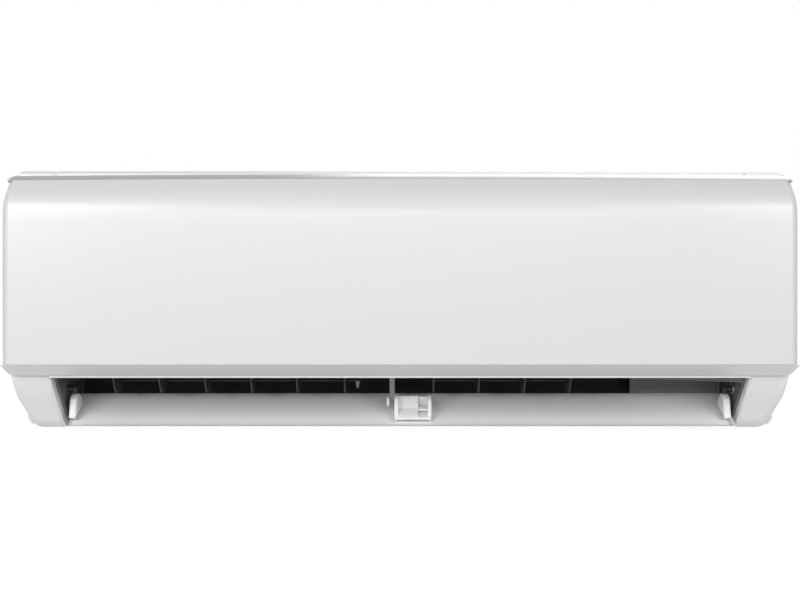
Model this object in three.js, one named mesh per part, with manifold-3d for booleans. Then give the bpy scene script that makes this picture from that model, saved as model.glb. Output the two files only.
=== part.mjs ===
// Mini split indoor unit: casing, swing-up front panel, cross-flow fan, evaporator, air outlet.
// Millimetres. +X along the unit to the right, -Y towards the room, +Z up.
// The origin is on the back of the steel mounting plate, level with the middle of the unit.
import * as THREE from "three";
import { mergeVertices } from "three/addons/utils/BufferGeometryUtils.js";
import Module from "manifold-3d";

const wasm = await Module();
wasm.setup();

// ---------------------------------------------------------------- driving dimensions
const WIDTH = 965; // over the panel and the cheeks
const DEPTH = 215; // from the wall to the front of the panel
const TOP = 164; // height of the casing's top above the origin
const BOTTOM = -165; // height of the casing's underside
const CHEEK = 49; // width of each cheek beside the air outlet
const WALL = 3; // moulded wall thickness
const GAP = 0.4; // clearance between neighbouring pieces
const PANEL_LOW = -79.6; // lower edge of the front panel
const PANEL_SIDE = 14; // depth of the panel's side walls
const LIP_HEIGHT = -97; // underside of the lip above the air outlet

const HALF = WIDTH / 2;
const BAY = HALF - CHEEK; // half the clear width between the cheeks

// Side-view places are [depth behind the panel's front face, height].
const PANEL_HINGE = [52, 147.5];
const FAN_AXIS = [125, -38];
const LOUVER_PIVOT = [99.4, -116.2];
const FAN_RADIUS = 47;
const LOUVER_OPEN = 63; // degrees from closed to the open place that it rests in
const SWEEP_BACK = 52; // clear radius behind the louver's pivot
const SWEEP_FRONT = 62; // clear radius in front of it

const COIL_LEFT = -392; // ends of the fin packs
const COIL_RIGHT = 292;
const FAN_LEFT = -408;
const FAN_RIGHT = 284;
const PARTITION = 300; // wall between the fan and the motor
const STRUT = -10; // the centre strut's middle
const FILTER_SPLIT = -50; // where the two filters meet

const VANES_LEFT = [-366, -307.5, -249, -190.5, -132, -71];
const VANES_RIGHT = [43, 101, 159.5, 218];
const VANE_THICKNESS = 2;

// ---------------------------------------------------------------- shape tools
const degrees = THREE.MathUtils.degToRad;

// A side-view place as a point of the Y-Z plane.
const side = ([depth, height]) => new THREE.Vector2(depth - DEPTH, height);

// A closed three.js geometry as a solid that can be joined and cut.
function solid(geometry) {
  const bare = geometry.index ? geometry.toNonIndexed() : geometry.clone();
  bare.deleteAttribute("normal");
  bare.deleteAttribute("uv");
  const merged = mergeVertices(bare, 1e-4);
  return new wasm.Manifold(
    new wasm.Mesh({
      numProp: 3,
      vertProperties: merged.attributes.position.array,
      triVerts: new Uint32Array(merged.index.array),
    }),
  );
}

// A solid as a geometry for a mesh.
function surface(body) {
  const { vertProperties, triVerts } = body.getMesh();
  const geometry = new THREE.BufferGeometry();
  geometry.setAttribute("position", new THREE.BufferAttribute(vertProperties, 3));
  geometry.setIndex(new THREE.BufferAttribute(triVerts, 1));
  const flat = geometry.toNonIndexed();
  flat.computeVertexNormals();
  return flat;
}

// Joins solids into one.
const join = (first, ...others) => others.reduce((whole, part) => whole.add(part), first);

// Cuts solids out of the first one.
const cut = (first, ...others) => others.reduce((whole, part) => whole.subtract(part), first);

// Extrudes an outline of 2-D points, with holes, over a length along the shape's own Z.
function prism(outline, length, holes = []) {
  const shape = new THREE.Shape(outline);
  shape.holes = holes.map((hole) => new THREE.Path(hole));
  return new THREE.ExtrudeGeometry(shape, { depth: length, bevelEnabled: false });
}

// A side-view outline carried along X from one plane to another.
function alongX(outline, x0, x1, holes = []) {
  const turn = new THREE.Matrix4().makeBasis(
    new THREE.Vector3(0, 1, 0),
    new THREE.Vector3(0, 0, 1),
    new THREE.Vector3(1, 0, 0),
  );
  const geometry = prism(outline.map(side), x1 - x0, holes.map((hole) => hole.map(side)));
  return solid(geometry.applyMatrix4(turn).translate(x0, 0, 0));
}

// A plan-view outline of [x, depth] carried up from one height to another.
function alongZ(outline, z0, z1, holes = []) {
  const plan = ([x, depth]) => new THREE.Vector2(x, depth - DEPTH);
  const geometry = prism(outline.map(plan), z1 - z0, holes.map((hole) => hole.map(plan)));
  return solid(geometry.translate(0, 0, z0));
}

// A front-view outline of [x, height] carried back from one depth to another.
function alongY(outline, depth0, depth1, holes = []) {
  const front = ([x, height]) => new THREE.Vector2(x, height);
  const geometry = prism(outline.map(front), depth1 - depth0, holes.map((hole) => hole.map(front)));
  return solid(geometry.rotateX(Math.PI / 2).translate(0, depth1 - DEPTH, 0));
}

// A block between two corners of [x, depth, height].
function block([x0, depth0, z0], [x1, depth1, z1]) {
  const geometry = new THREE.BoxGeometry(x1 - x0, depth1 - depth0, z1 - z0);
  return solid(geometry.translate((x0 + x1) / 2, (depth0 + depth1) / 2 - DEPTH, (z0 + z1) / 2));
}

// Points of an arc about a centre, in degrees, both ends included.
function arc([cx, cy], radius, from, to, steps) {
  return Array.from({ length: steps + 1 }, (_, i) => {
    const angle = degrees(from + ((to - from) * i) / steps);
    return [cx + radius * Math.cos(angle), cy + radius * Math.sin(angle)];
  });
}

// Points of a smooth curve through the given places.
function smooth(places, steps) {
  const curve = new THREE.SplineCurve(places.map(([a, b]) => new THREE.Vector2(a, b)));
  return curve.getPoints(steps).map((point) => [point.x, point.y]);
}

// The outline of a wall of even thickness on the left of a path.
function wallOutline(path, thickness) {
  const outer = path.map(([a, b], i) => {
    const [a0, b0] = path[Math.max(i - 1, 0)];
    const [a1, b1] = path[Math.min(i + 1, path.length - 1)];
    const run = Math.hypot(a1 - a0, b1 - b0);
    return [a - (thickness * (b1 - b0)) / run, b + (thickness * (a1 - a0)) / run];
  });
  return [...path, ...outer.reverse()];
}

// A cylinder along X about a side-view place.
function roundX([depth, height], radius, x0, x1, sides = 24) {
  const geometry = new THREE.CylinderGeometry(radius, radius, x1 - x0, sides);
  geometry.rotateZ(Math.PI / 2).translate((x0 + x1) / 2, depth - DEPTH, height);
  return solid(geometry);
}

// A ring along X about a side-view place.
function ringX(place, inner, outer, x0, x1, sides = 18) {
  return cut(roundX(place, outer, x0, x1, sides), roundX(place, inner, x0 - 1, x1 + 1, sides));
}

// A round tube along a smooth route of [x, depth, height] places.
function tube(route, radius, steps, sides) {
  const points = route.map(([x, depth, z]) => new THREE.Vector3(x, depth - DEPTH, z));
  const section = new THREE.Shape(
    arc([0, 0], radius, 0, 360 - 360 / sides, sides - 1).map(([a, b]) => new THREE.Vector2(a, b)),
  );
  const path = new THREE.CatmullRomCurve3(points, false, "centripetal");
  return solid(new THREE.ExtrudeGeometry(section, { extrudePath: path, steps, bevelEnabled: false }));
}

// ---------------------------------------------------------------- finishes
function finish(color, roughness, metalness = 0) {
  return new THREE.MeshStandardMaterial({ color, roughness, metalness });
}

const finishes = {
  panel: () => finish(0xe6e6e7, 0.32),
  casing: () => finish(0xe2e1e0, 0.45),
  trim: () => finish(0xa4a4a6, 0.35, 0.6),
  duct: () => finish(0xb4b3b2, 0.6),
  louver: () => finish(0xe4e3e2, 0.42),
  clip: () => finish(0xf0f0ee, 0.5),
  dark: () => finish(0x26262a, 0.55),
  steel: () => finish(0xb6babd, 0.45, 0.9),
  fins: () => finish(0xc3d2d8, 0.5, 0.8),
  copper: () => finish(0xb87350, 0.4, 1),
  rubber: () => finish(0x1c1c1d, 0.85),
  filter: () => finish(0x5f6a74, 0.7),
  board: () => finish(0x2f6a45, 0.6),
};

// Adds a named mesh of a solid to a group.
function add(group, name, body, material) {
  const mesh = new THREE.Mesh(surface(body), material);
  mesh.name = name;
  group.add(mesh);
  return mesh;
}

// ---------------------------------------------------------------- casing
// The belly: the curve from the outlet's lip down to the flat underside.
const BELLY = smooth([[35, -96.5], [51, -115], [79.5, -139], [104, -156], [123, BOTTOM]], 8);

// The inside curve of the scroll and the duct floor, from above the fan to the outlet's edge.
const SCROLL = [
  ...smooth([[200, 120], [199, 60], [188, 22], [170, 0]], 5),
  ...smooth([[166, -6], [175.5, -22], [181, -40], [182, -60], [181, -80], [178, -100]], 7),
  ...smooth([[172, -122], [160, -142], [144, -154], [128, -159.8], [119.5, -161.9]], 5),
];

function casing(group) {
  const shell = finishes.casing();
  cheeks(group, shell);
  add(group, "frame_top", frameTop(), shell);
  add(group, "outlet_lip", outletLip(), shell);
  add(group, "inlet_grille", inletGrille(), shell);
  add(group, "rear_chassis", rearChassis(), finishes.casing());
  add(group, "end_wall_left", endWall(-1), finishes.casing());
  add(group, "end_wall_right", endWall(1), finishes.casing());
  add(group, "duct_end_right", ductEnd(), finishes.duct());
  add(group, "mounting_plate", mountingPlate(), finishes.steel());
}

// The side view of a cheek: behind the panel in front, under the trim, flat at the back.
function cheekOutline(inset) {
  const front = smooth([[34.6, 131], [24.4, 119.6], [18.2, 107], [15.6, 90]], 5);
  const outline = [
    [15, -82], [31.5, -92.5], ...BELLY, [207, BOTTOM],
    ...arc([200, 157], 7, 0, 90, 4), [91, TOP], [70, 162], [59.5, 157.4], [59.5, 146], [40, 137],
    ...front,
  ];
  return inset ? insetOutline(outline, inset) : outline;
}

// Moves every side of an anticlockwise outline inwards by the same distance.
function insetOutline(outline, distance) {
  const count = outline.length;
  const edges = outline.map(([a, b], i) => {
    const [a1, b1] = outline[(i + 1) % count];
    const run = Math.hypot(a1 - a, b1 - b);
    return { a, b, da: (a1 - a) / run, db: (b1 - b) / run };
  });
  return edges.map((edge, i) => {
    const last = edges[(i + count - 1) % count];
    const turn = last.da * edge.db - last.db * edge.da;
    const spread = Math.tan(Math.asin(THREE.MathUtils.clamp(turn, -1, 1)) / 2);
    const normal = [-last.db * distance, last.da * distance];
    return [
      edge.a + normal[0] - last.da * distance * spread,
      edge.b + normal[1] - last.db * distance * spread,
    ];
  });
}

// A cheek is a shell with its side wall outside; below, an inner wall closes it to the duct.
function cheeks(group, material) {
  const low = -86; // above this height the cheek is open towards the middle
  const whole = alongX(cheekOutline(0), BAY, HALF);
  const pocket = alongX(cheekOutline(WALL), BAY + WALL, HALF - WALL);
  const door = cut(
    alongX(cheekOutline(WALL), BAY - 1, BAY + WALL + 1),
    block([BAY - 2, 0, BOTTOM - 1], [BAY + WALL + 2, DEPTH, low]),
  );
  const back = block([BAY + 8, 150, -150], [HALF - 8, DEPTH, 140]);
  const drive = roundX(LOUVER_PIVOT, 11, BAY - 1, BAY + WALL + 1, 16);
  const cheek = surface(cut(whole, pocket, door, back, drive));
  for (const [name, sign] of [["left_cheek", -1], ["right_cheek", 1]]) {
    const mesh = new THREE.Mesh(cheek, material);
    mesh.name = name;
    mesh.scale.x = sign;
    group.add(mesh);
  }
}

// The front edge of the top: a folded strip between the trim and the inlet grille.
function frameTop() {
  const path = [[59.5, 153], [59.5, 157.4], [70, 162], [91, TOP]];
  const inner = [[91, TOP - 2.6], [70.6, 159.4], [62.2, 155.6], [62.2, 153]];
  return alongX([...path.reverse(), ...inner.reverse()], -BAY + GAP, BAY - GAP);
}

// The lip above the outlet, with the guide rib that stands between the two filters.
function outletLip() {
  const outline = [
    [17, -68], [17, -83], [32.5, -93], [35, LIP_HEIGHT], [41, LIP_HEIGHT], [41, -94.4], [36, -94.4],
    [34.2, -90.6], [20, -81.4], [20, -68],
  ];
  const lip = alongX(outline, -BAY + GAP, BAY - GAP);
  const rib = block([FILTER_SPLIT - 2, 17, -70], [FILTER_SPLIT + 2, 26, 96]);
  return join(lip, rib);
}

// The top grille: a frame of long bars joined by lower cross ribs.
function inletGrille() {
  const [front, rear] = [91.6, 206.4];
  const [bars, ribs] = [7, 6];
  const [barWidth, ribWidth] = [4.6, 3];
  const length = BAY - GAP;
  const stepY = (rear - front - barWidth) / (bars - 1);
  const stepX = (2 * length - ribWidth) / (ribs - 1);
  const long = Array.from({ length: bars }, (_, i) =>
    block([-length, front + i * stepY, TOP - 2.8], [length, front + i * stepY + barWidth, TOP]),
  );
  const cross = Array.from({ length: ribs }, (_, i) =>
    block([-length + i * stepX, front + 1, TOP - 2.6], [-length + i * stepX + ribWidth, rear - 1, TOP - 0.6]),
  );
  return join(long[0], ...long.slice(1), ...cross);
}

// The rear casing: scroll wall and duct floor, underside, back ribs and the motor partition.
function rearChassis() {
  const wall = wallOutline([...SCROLL], WALL);
  const width = BAY - 2 * GAP - WALL;
  const swept = alongX(wall, -width, width);
  const underside = block([-width, 119.5, BOTTOM], [width, 205, BOTTOM + WALL]);
  const backWall = alongX([[200, 119], [203, 119], [203, TOP - 3.4], [200, TOP - 3.4]], -width, width);
  const ribs = [-360, -200, -30, 140, 290].map((x) =>
    alongX([[183, -96], [205, -96], [205, 100], [201, 100], [201, 60], [186, 20], [178, 2]], x, x + 2),
  );
  const lowEdge = wallOutline([[205, BOTTOM], [205, BOTTOM + 12]], 2);
  const edge = alongX(lowEdge, -width, width);
  const body = join(swept, underside, backWall, edge, ...ribs);
  const gate = block([384, 170, 2], [428, 204, 62]);
  return join(cut(body, gate), partition());
}

// An end wall of the rear casing: a seat for the panel's pin, a hole for the louver's drive or
// pin and, on the left, a hole for the fan's bearing.
function endWall(sign) {
  const x = sign < 0 ? GAP - BAY : BAY - GAP - WALL;
  const outline = [
    [43, -92], [55, -110], [84, -133], [119.5, -159], [119.5, BOTTOM + 1], [201, BOTTOM + 1],
    [201, TOP - 3.4], [92, TOP - 3.4], [70, 158.6], [62.6, 152.6], [59.4, 148], [58, 143], [50, 139],
    [40, 132], [24, 112], [21, 90], [21, -66], [43, -66],
  ];
  const [pinHole, driveHole, bearingHole] = [4.5, 8.4, 24];
  const holes = sign < 0
    ? [arc(LOUVER_PIVOT, pinHole, 0, 330, 11), arc(FAN_AXIS, bearingHole, 0, 337.5, 15)]
    : [arc(LOUVER_PIVOT, driveHole, 0, 330, 11)];
  const plate = alongX(outline, x, x + WALL, holes);
  const ear = roundX(PANEL_HINGE, 7.6, x, x + WALL, 16);
  const eye = roundX(PANEL_HINGE, 2.9, x - 1, x + WALL + 1, 12);
  const mouth = block([x - 1, 30, PANEL_HINGE[1] + 0.6], [x + WALL + 1, 59.2, 160]);
  return cut(join(plate, ear), eye, mouth);
}

// The wall between the fan and the motor, with the shaft's hole.
function partition() {
  const outline = [
    [84, -60], [100, -88], [151, -106], [170, -118], [181.5, -80], [182.5, -50], [178, -20],
    [168, -2], [172, 3], [186, 24], [110, 24], [84, 10],
  ];
  return alongX(outline, PARTITION, PARTITION + WALL, [arc(FAN_AXIS, 12, 0, 337.5, 15)]);
}

// The moulded end of the duct on the motor's side: a hollow wedge that flares to the cheek.
function ductEnd() {
  const [low, top] = [-143, -90];
  const [near, far, rear] = [52, 152.6, 155.2];
  const [start, end] = [308, BAY - WALL - 2 * GAP];
  const wedge = alongZ([[start, far], [end, near], [end, rear], [start, rear]], low, top);
  const inside = alongZ(
    [[start + 7.4, far - 0.1], [end - 2.6, near + 6.2], [end - 2.6, far - 0.1]], low - 1, top - 2.5,
  );
  return cut(wedge, inside, alongX(louverSweep(), 280, HALF));
}

// The room that the turning louver needs, as a side view.
function louverSweep() {
  return [
    ...arc(LOUVER_PIVOT, SWEEP_FRONT, 169, 262, 8),
    ...arc(LOUVER_PIVOT, SWEEP_BACK, 278, 371, 8),
  ];
}

// The steel plate on the wall: folded hooks at the top, oblong holes for screws.
function mountingPlate() {
  const [left, right, low, high] = [-380, 380, -120, 118];
  const corner = 14;
  const outline = [
    [left + corner, low], [right - corner, low], [right, low + corner], [right, high - corner],
    [right - corner, high], [left + corner, high], [left, high - corner], [left, low + corner],
  ];
  const holes = [];
  for (const x of [-330, -140, 140, 330]) {
    for (const z of [-90, 92]) holes.push(slot(x, z, 22, 3.2));
  }
  for (const x of [-250, 250]) holes.push(slot(x, -2, 78, 24));
  const thickness = 1.2;
  const sheet = alongY(outline, DEPTH - thickness, DEPTH, holes);
  const hooks = [-300, 300].map((x) => {
    const fold = wallOutline([[DEPTH, high - 1], [DEPTH, high + 10], [206, high + 10]], 1.2);
    return alongX(fold, x - 18, x + 18);
  });
  return join(sheet, ...hooks);
}

// An oblong hole with round ends, as a front-view outline.
function slot(x, z, length, radius) {
  const reach = length / 2 - radius;
  return [...arc([x + reach, z], radius, -90, 90, 3), ...arc([x - reach, z], radius, 90, 270, 3)];
}

// ---------------------------------------------------------------- front panel
const PANEL_FACE = [[0, PANEL_LOW], ...smooth([[0, 96], [1.2, 112], [8, 127], [24, 145]], 8)];
const PANEL_BACK = [[PANEL_SIDE, PANEL_LOW], ...smooth([[14, 92], [15.6, 107], [21.5, 119], [32, 131]], 6)];

function frontPanel(group) {
  const trim = finishes.trim();
  add(group, "front_panel", panelShell(), finishes.panel());
  add(group, "top_trim", topTrim(), trim);
  add(group, "bottom_trim", bottomTrim(), trim);
  const arm = surface(panelArm());
  for (const [name, sign] of [["panel_arm_left", -1], ["panel_arm_right", 1]]) {
    const mesh = new THREE.Mesh(arm, finishes.casing());
    mesh.name = name;
    mesh.scale.x = sign;
    group.add(mesh);
  }
}

// A shallow tray with rounded front corners, open at the back.
function panelShell() {
  const outline = [...PANEL_FACE].reverse().concat(PANEL_BACK);
  const corner = 11;
  const plan = [
    [-HALF, 60], ...arc([-HALF + corner, corner], corner, 180, 270, 5),
    ...arc([HALF - corner, corner], corner, 270, 360, 5), [HALF, 60],
  ];
  const full = alongX(outline, -HALF, HALF).intersect(alongZ(plan, -200, 200));
  const inner = PANEL_FACE.map(([depth, z], i) => [depth + 2.6, i ? z - 2.2 : z + 2.6]);
  const hollow = [...inner].reverse().concat([[36, PANEL_LOW + 2.6], [36, 126]]);
  return cut(full, alongX(hollow, -HALF + WALL, HALF - WALL));
}

// The strip above the panel, between the panel and the casing's top.
function topTrim() {
  const outline = [[24.4, 145.5], [27.2, 142.5], [51.2, 151.2], [50, 154.4], [37, 150.6]];
  const strip = alongX(outline, -HALF, HALF);
  const notches = [-1, 1].map((sign) => {
    const [x0, x1] = [sign * 422.4, sign * 429.8].sort((a, b) => a - b);
    return roundX(PANEL_HINGE, 4.1, x0, x1, 16);
  });
  return cut(strip, ...notches);
}

// The strip below the panel, raked back to the outlet's lip, with rounded ends.
function bottomTrim() {
  const outline = [[0, -80], [14, -90], [28, -95.8], [29.2, -93], [15.4, -87.4], [3, -80]];
  const ends = [
    [-HALF, PANEL_LOW], [-HALF + 1.5, -86], ...arc([-HALF + 11, -86.5], 9.6, 190, 270, 4),
    ...arc([HALF - 11, -86.5], 9.6, 270, 350, 4), [HALF - 1.5, -86], [HALF, PANEL_LOW],
  ];
  return alongX(outline, -HALF, HALF).intersect(alongY(ends, -5, 40));
}

// One hinge arm: an eye on the hinge line, a pin and a foot on the panel's inside.
function panelArm() {
  const [depth, height] = PANEL_HINGE;
  const foot = [[5.2, 60], [12, 60], [20, 100], [36, 128], [depth + 2, height - 3], [depth - 3, height + 2]];
  const inner = [[42, 140.5], [24.5, 126], [11, 110], [5.2, 96]];
  const web = alongX([...foot, ...inner], 423, 429);
  const eye = roundX(PANEL_HINGE, 3.6, 423, 429, 16);
  const pin = roundX(PANEL_HINGE, 2.4, 423, 432.4, 12);
  return join(web, eye, pin);
}

// ---------------------------------------------------------------- louver
const LOUVER_HALF = 427; // half the blade's length
const BLADE = 2.6; // thickness of the blade's skin

// The louver is drawn closed, about its pivot, and its group turns it to the open place.
function louver(group) {
  const hinged = new THREE.Group();
  hinged.position.set(0, LOUVER_PIVOT[0] - DEPTH, LOUVER_PIVOT[1]);
  hinged.rotation.x = degrees(LOUVER_OPEN);
  group.add(hinged);
  const clip = finishes.clip();
  add(hinged, "louver_blade", louverBlade(), finishes.louver());
  add(hinged, "louver_clip_left", louverArm(-LOUVER_HALF + 1, -LOUVER_HALF + 9, -432.8), clip);
  add(hinged, "louver_clip_right", louverArm(LOUVER_HALF - 9, LOUVER_HALF - 1, 432.8), clip);
  add(hinged, "louver_clip_centre", centreClip(), clip);
}

// Closed, the blade's outside follows the belly; these are places relative to the pivot.
const BLADE_OUTSIDE = smooth([[-57.5, 11.5], [-47, -4.5], [-25, -21], [-4, -35], [13.2, -44.6]], 10);

function louverBlade() {
  const path = BLADE_OUTSIDE.map(([a, b]) => [a + DEPTH, b]);
  const skin = alongX(wallOutline(path, BLADE), -LOUVER_HALF, LOUVER_HALF);
  const [tipA, tipB] = path[0];
  const hem = alongX(
    [[tipA, tipB], [tipA + 2.4, tipB + 1], [tipA + 5.4, tipB - 4], [tipA + 3, tipB - 6]],
    -LOUVER_HALF, LOUVER_HALF,
  );
  const front = [
    [-LOUVER_HALF + 3, -60], [LOUVER_HALF - 3, -60], [LOUVER_HALF, -42], [LOUVER_HALF, 4],
    [LOUVER_HALF - 5, 20], [-LOUVER_HALF + 5, 20], [-LOUVER_HALF, 4], [-LOUVER_HALF, -42],
  ];
  return join(skin, hem).intersect(alongY(front, DEPTH - 100, DEPTH + 100));
}

// The side view of a clip's foot and arm, from the blade's inside up to the pivot.
const ARM = [
  [DEPTH - 31, -12.4], [DEPTH - 9, -27.6], [DEPTH + 6.4, -12], [DEPTH + 7, 0], [DEPTH - 7, 0],
  [DEPTH - 12, -8],
];

function louverArm(x0, x1, pinEnd) {
  const web = alongX(ARM, x0, x1);
  const eye = roundX([DEPTH, 0], 7, x0, x1, 20);
  const [from, to] = pinEnd < 0 ? [pinEnd, x0 + 1] : [x1 - 1, pinEnd];
  return join(web, eye, roundX([DEPTH, 0], 4, from, to, 16));
}

// The centre clip: an arm beside the strut, a pin through it and a U-shaped catch.
function centreClip() {
  const [x0, x1] = [STRUT + 4.6, STRUT + 30];
  const body = alongX(ARM, x0, x1);
  const hollow = alongX(
    [[DEPTH - 22, -12], [DEPTH - 10, -21], [DEPTH + 3, -9], [DEPTH + 12, 12], [DEPTH - 12, 12]],
    x0 + 6, x1 - 3,
  );
  const eye = roundX([DEPTH, 0], 7, x0, x0 + 6, 20);
  const pin = roundX([DEPTH, 0], 4, STRUT - 5.5, x0 + 1, 16);
  const head = roundX([DEPTH, 0], 6, STRUT - 7, STRUT - 4.2, 16);
  const catchWall = (x) => alongX(
    [[DEPTH - 31, -12.4], [DEPTH - 9, -27.6], [DEPTH + 2, -16], [DEPTH - 4, -7], [DEPTH - 14, -4]],
    x, x + 2.4,
  );
  const bridge = alongX(
    [[DEPTH - 31, -12.4], [DEPTH - 9, -27.6], [DEPTH - 7.6, -26], [DEPTH - 29.4, -10.6]],
    x1 - 1, x1 + 19.4,
  );
  return join(cut(body, hollow), eye, pin, head, catchWall(x1 + 3.6), catchWall(x1 + 17), bridge);
}

// ---------------------------------------------------------------- vanes
const VANE_TOP = [88, -79.5]; // upper end of a vane's turning line
const VANE_FOOT = [160, -112]; // lower end, near the duct floor
const VANE_LEAN = Math.atan2(VANE_FOOT[1] - VANE_TOP[1], VANE_FOOT[0] - VANE_TOP[0]);
const LINK_OFFSET = 15; // from the vanes' turning lines to the link bar's pins

// Places along and across a vane's turning line, as side-view places.
function vanePlace(along, across) {
  const [c, s] = [Math.cos(VANE_LEAN), Math.sin(VANE_LEAN)];
  return [VANE_TOP[0] + along * c + across * s, VANE_TOP[1] + along * s - across * c];
}

// A cylinder along a vane's turning line.
function vanePin(x, across, radius, from, to, sides = 10) {
  const geometry = new THREE.CylinderGeometry(radius, radius, to - from, sides);
  const [depth, z] = vanePlace((from + to) / 2, across);
  geometry.rotateX(VANE_LEAN).translate(x, depth - DEPTH, z);
  return solid(geometry);
}

// A vane wraps as a crescent between the fan and the room that the louver turns in.
function vaneBlade() {
  const outline = [
    [88.6, -85.4], [98, -93], [113, -100], [143, -107], [151, -111], [152.6, -119], [150.8, -129],
    [158, -133], [167, -122], [174, -104], [168, -90], [146, -91], [131, -92.8], [112, -90], [93, -78.6],
  ];
  const plate = alongX([...outline].reverse(), -VANE_THICKNESS / 2, VANE_THICKNESS / 2);
  const pin = vanePin(0, 0, 1.7, -4.4, 7, 6);
  const linkPin = vanePin(0, LINK_OFFSET - 1, 1.5, 20, 29, 6);
  const horn = alongX(
    [vanePlace(19, 6), vanePlace(25, 6), vanePlace(25, LINK_OFFSET + 1.4), vanePlace(20, LINK_OFFSET + 1.4)],
    -VANE_THICKNESS / 2, VANE_THICKNESS / 2,
  );
  return join(plate, pin, horn, linkPin);
}

// A strip that holds one group of vanes by their upper pins, under the drip tray.
function vaneStrip(places) {
  const [first, last] = [places[0] - 14, places[places.length - 1] + 14];
  const outline = [
    vanePlace(-3.4, -6), vanePlace(-3.4, 5), vanePlace(-0.4, 5), vanePlace(-0.4, -6),
  ];
  const holes = places.map((x) => vanePin(x, 0, 2.1, -5, 2, 6));
  return cut(alongX(outline, first, last), ...holes);
}

// The bar that links the vanes of one group, with a hole for each vane's link pin.
function linkBar(places, tab) {
  const [first, last] = [places[0] - 5, places[places.length - 1] + 5];
  const outline = [
    vanePlace(25.6, LINK_OFFSET - 5), vanePlace(25.6, LINK_OFFSET + 3),
    vanePlace(27.8, LINK_OFFSET + 3), vanePlace(27.8, LINK_OFFSET - 5),
  ];
  const end = tab === undefined ? last : Math.max(last, tab + 4);
  const holes = places.map((x) => vanePin(x, LINK_OFFSET - 1, 1.9, 20, 32, 6));
  const bar = cut(alongX(outline, first, end), ...holes);
  return tab === undefined ? bar : join(bar, fingerTab(tab));
}

// A small V-shaped tab that hangs from the link bar for a finger.
function fingerTab(x) {
  const [depth, z] = vanePlace(27, LINK_OFFSET + 1);
  return alongY([[x - 3.6, z], [x + 3.6, z], [x + 1, z - 11], [x - 1, z - 11]], depth - 1.2, depth + 1);
}

function vanes(group) {
  const blade = surface(vaneBlade());
  const groups = [["left", VANES_LEFT, -55], ["right", VANES_RIGHT, undefined]];
  for (const [where, places, tab] of groups) {
    places.forEach((x, i) => {
      const vane = new THREE.Mesh(blade, finishes.dark());
      vane.name = `vane_${where}_${i + 1}`;
      vane.position.x = x;
      group.add(vane);
    });
    add(group, `vane_strip_${where}`, vaneStrip(places), finishes.dark());
    add(group, `vane_link_${where}`, linkBar(places, tab), finishes.dark());
  }
}

// ---------------------------------------------------------------- strut and louver drive
// The strut hangs from the lip and the tray and holds the louver's centre pin.
function centreStrut() {
  const outline = [
    [42.6, -93.8], [62, -82.9], [75.4, -75.6], [82, -80], [86, -95], [91, -104],
    ...arc(LOUVER_PIVOT, 14, 130, -30, 8), ...arc(LOUVER_PIVOT, 18, -60, -130, 4), [80, -118], [62, -106],
    [41.6, -96.6],
  ];
  const plate = alongX([...outline].reverse(), STRUT - 2, STRUT + 2);
  const flange = alongX([[62, -82.9], [75.4, -75.6], [77.2, -79], [63.8, -86.3]], STRUT - 7, STRUT + 7);
  return cut(join(plate, flange), roundX(LOUVER_PIVOT, 4.5, STRUT - 9, STRUT + 9, 16));
}

function louverDrive(group) {
  const end = BAY - GAP;
  add(group, "centre_strut", centreStrut(), finishes.duct());
  const motor = cut(
    join(roundX(LOUVER_PIVOT, 8, end - 4, end + 1, 16), roundX(LOUVER_PIVOT, 14, end + 4.2, end + 22, 16),
      roundX(LOUVER_PIVOT, 10, end, end + 5, 16)),
    roundX(LOUVER_PIVOT, 4.5, end - 5, end + 6, 12),
  );
  add(group, "louver_motor", motor, finishes.steel());
}

// ---------------------------------------------------------------- fan and its drive
const BLADES = 20; // blades of the cross-flow wheel
const FAN_DISCS = 3; // end discs and the one between them
const BLADE_ROOT = 35; // radius of the blades' inner edges
const BLADE_CURVE = 17; // radius that a blade's section is bent to
const SHAFT = 4; // radius of the motor's shaft

function fanDrive(group) {
  const axis = new THREE.Group();
  axis.position.set(0, FAN_AXIS[0] - DEPTH, FAN_AXIS[1]);
  group.add(axis);
  const end = BAY - GAP;
  add(axis, "fan_wheel", fanWheel(), finishes.dark());
  add(axis, "fan_shaft", onAxis(SHAFT, FAN_RIGHT - 24, 396, 20), finishes.steel());
  add(axis, "fan_bearing", ringOnAxis(SHAFT + GAP, 13.4, -425, -413), finishes.steel());
  add(axis, "bearing_holder", bearingHolder(end), finishes.rubber());
  add(axis, "fan_motor", fanMotor(), finishes.steel());
  add(axis, "motor_ring", ringOnAxis(14.4, 22, 370, 381), finishes.rubber());
  add(axis, "motor_cover", motorCover(), finishes.casing());
}

// Cylinders and rings about the fan's own axis.
const onAxis = (radius, x0, x1, sides) => roundX([DEPTH, 0], radius, x0, x1, sides);
const ringOnAxis = (inner, outer, x0, x1) => ringX([DEPTH, 0], inner, outer, x0, x1);

// The section of one blade: a thin crescent bent forwards between two radii.
function bladeSection(angle) {
  const middle = (BLADE_ROOT + FAN_RADIUS) / 2;
  const half = (FAN_RADIUS - BLADE_ROOT) / 2 - 0.4;
  const bend = (u) => BLADE_CURVE - Math.sqrt(BLADE_CURVE ** 2 - u ** 2);
  const stations = [-half, 0, half];
  const skin = (thick) => stations.map((u) => [middle + u, 4 - 2.4 * bend(u) + 0.5 * u + thick]);
  const outline = [...skin(-0.55), ...skin(0.55).reverse()];
  const turn = degrees(angle);
  return outline.map(([r, t]) => [
    DEPTH + r * Math.cos(turn) - t * Math.sin(turn),
    r * Math.sin(turn) + t * Math.cos(turn),
  ]);
}

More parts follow.
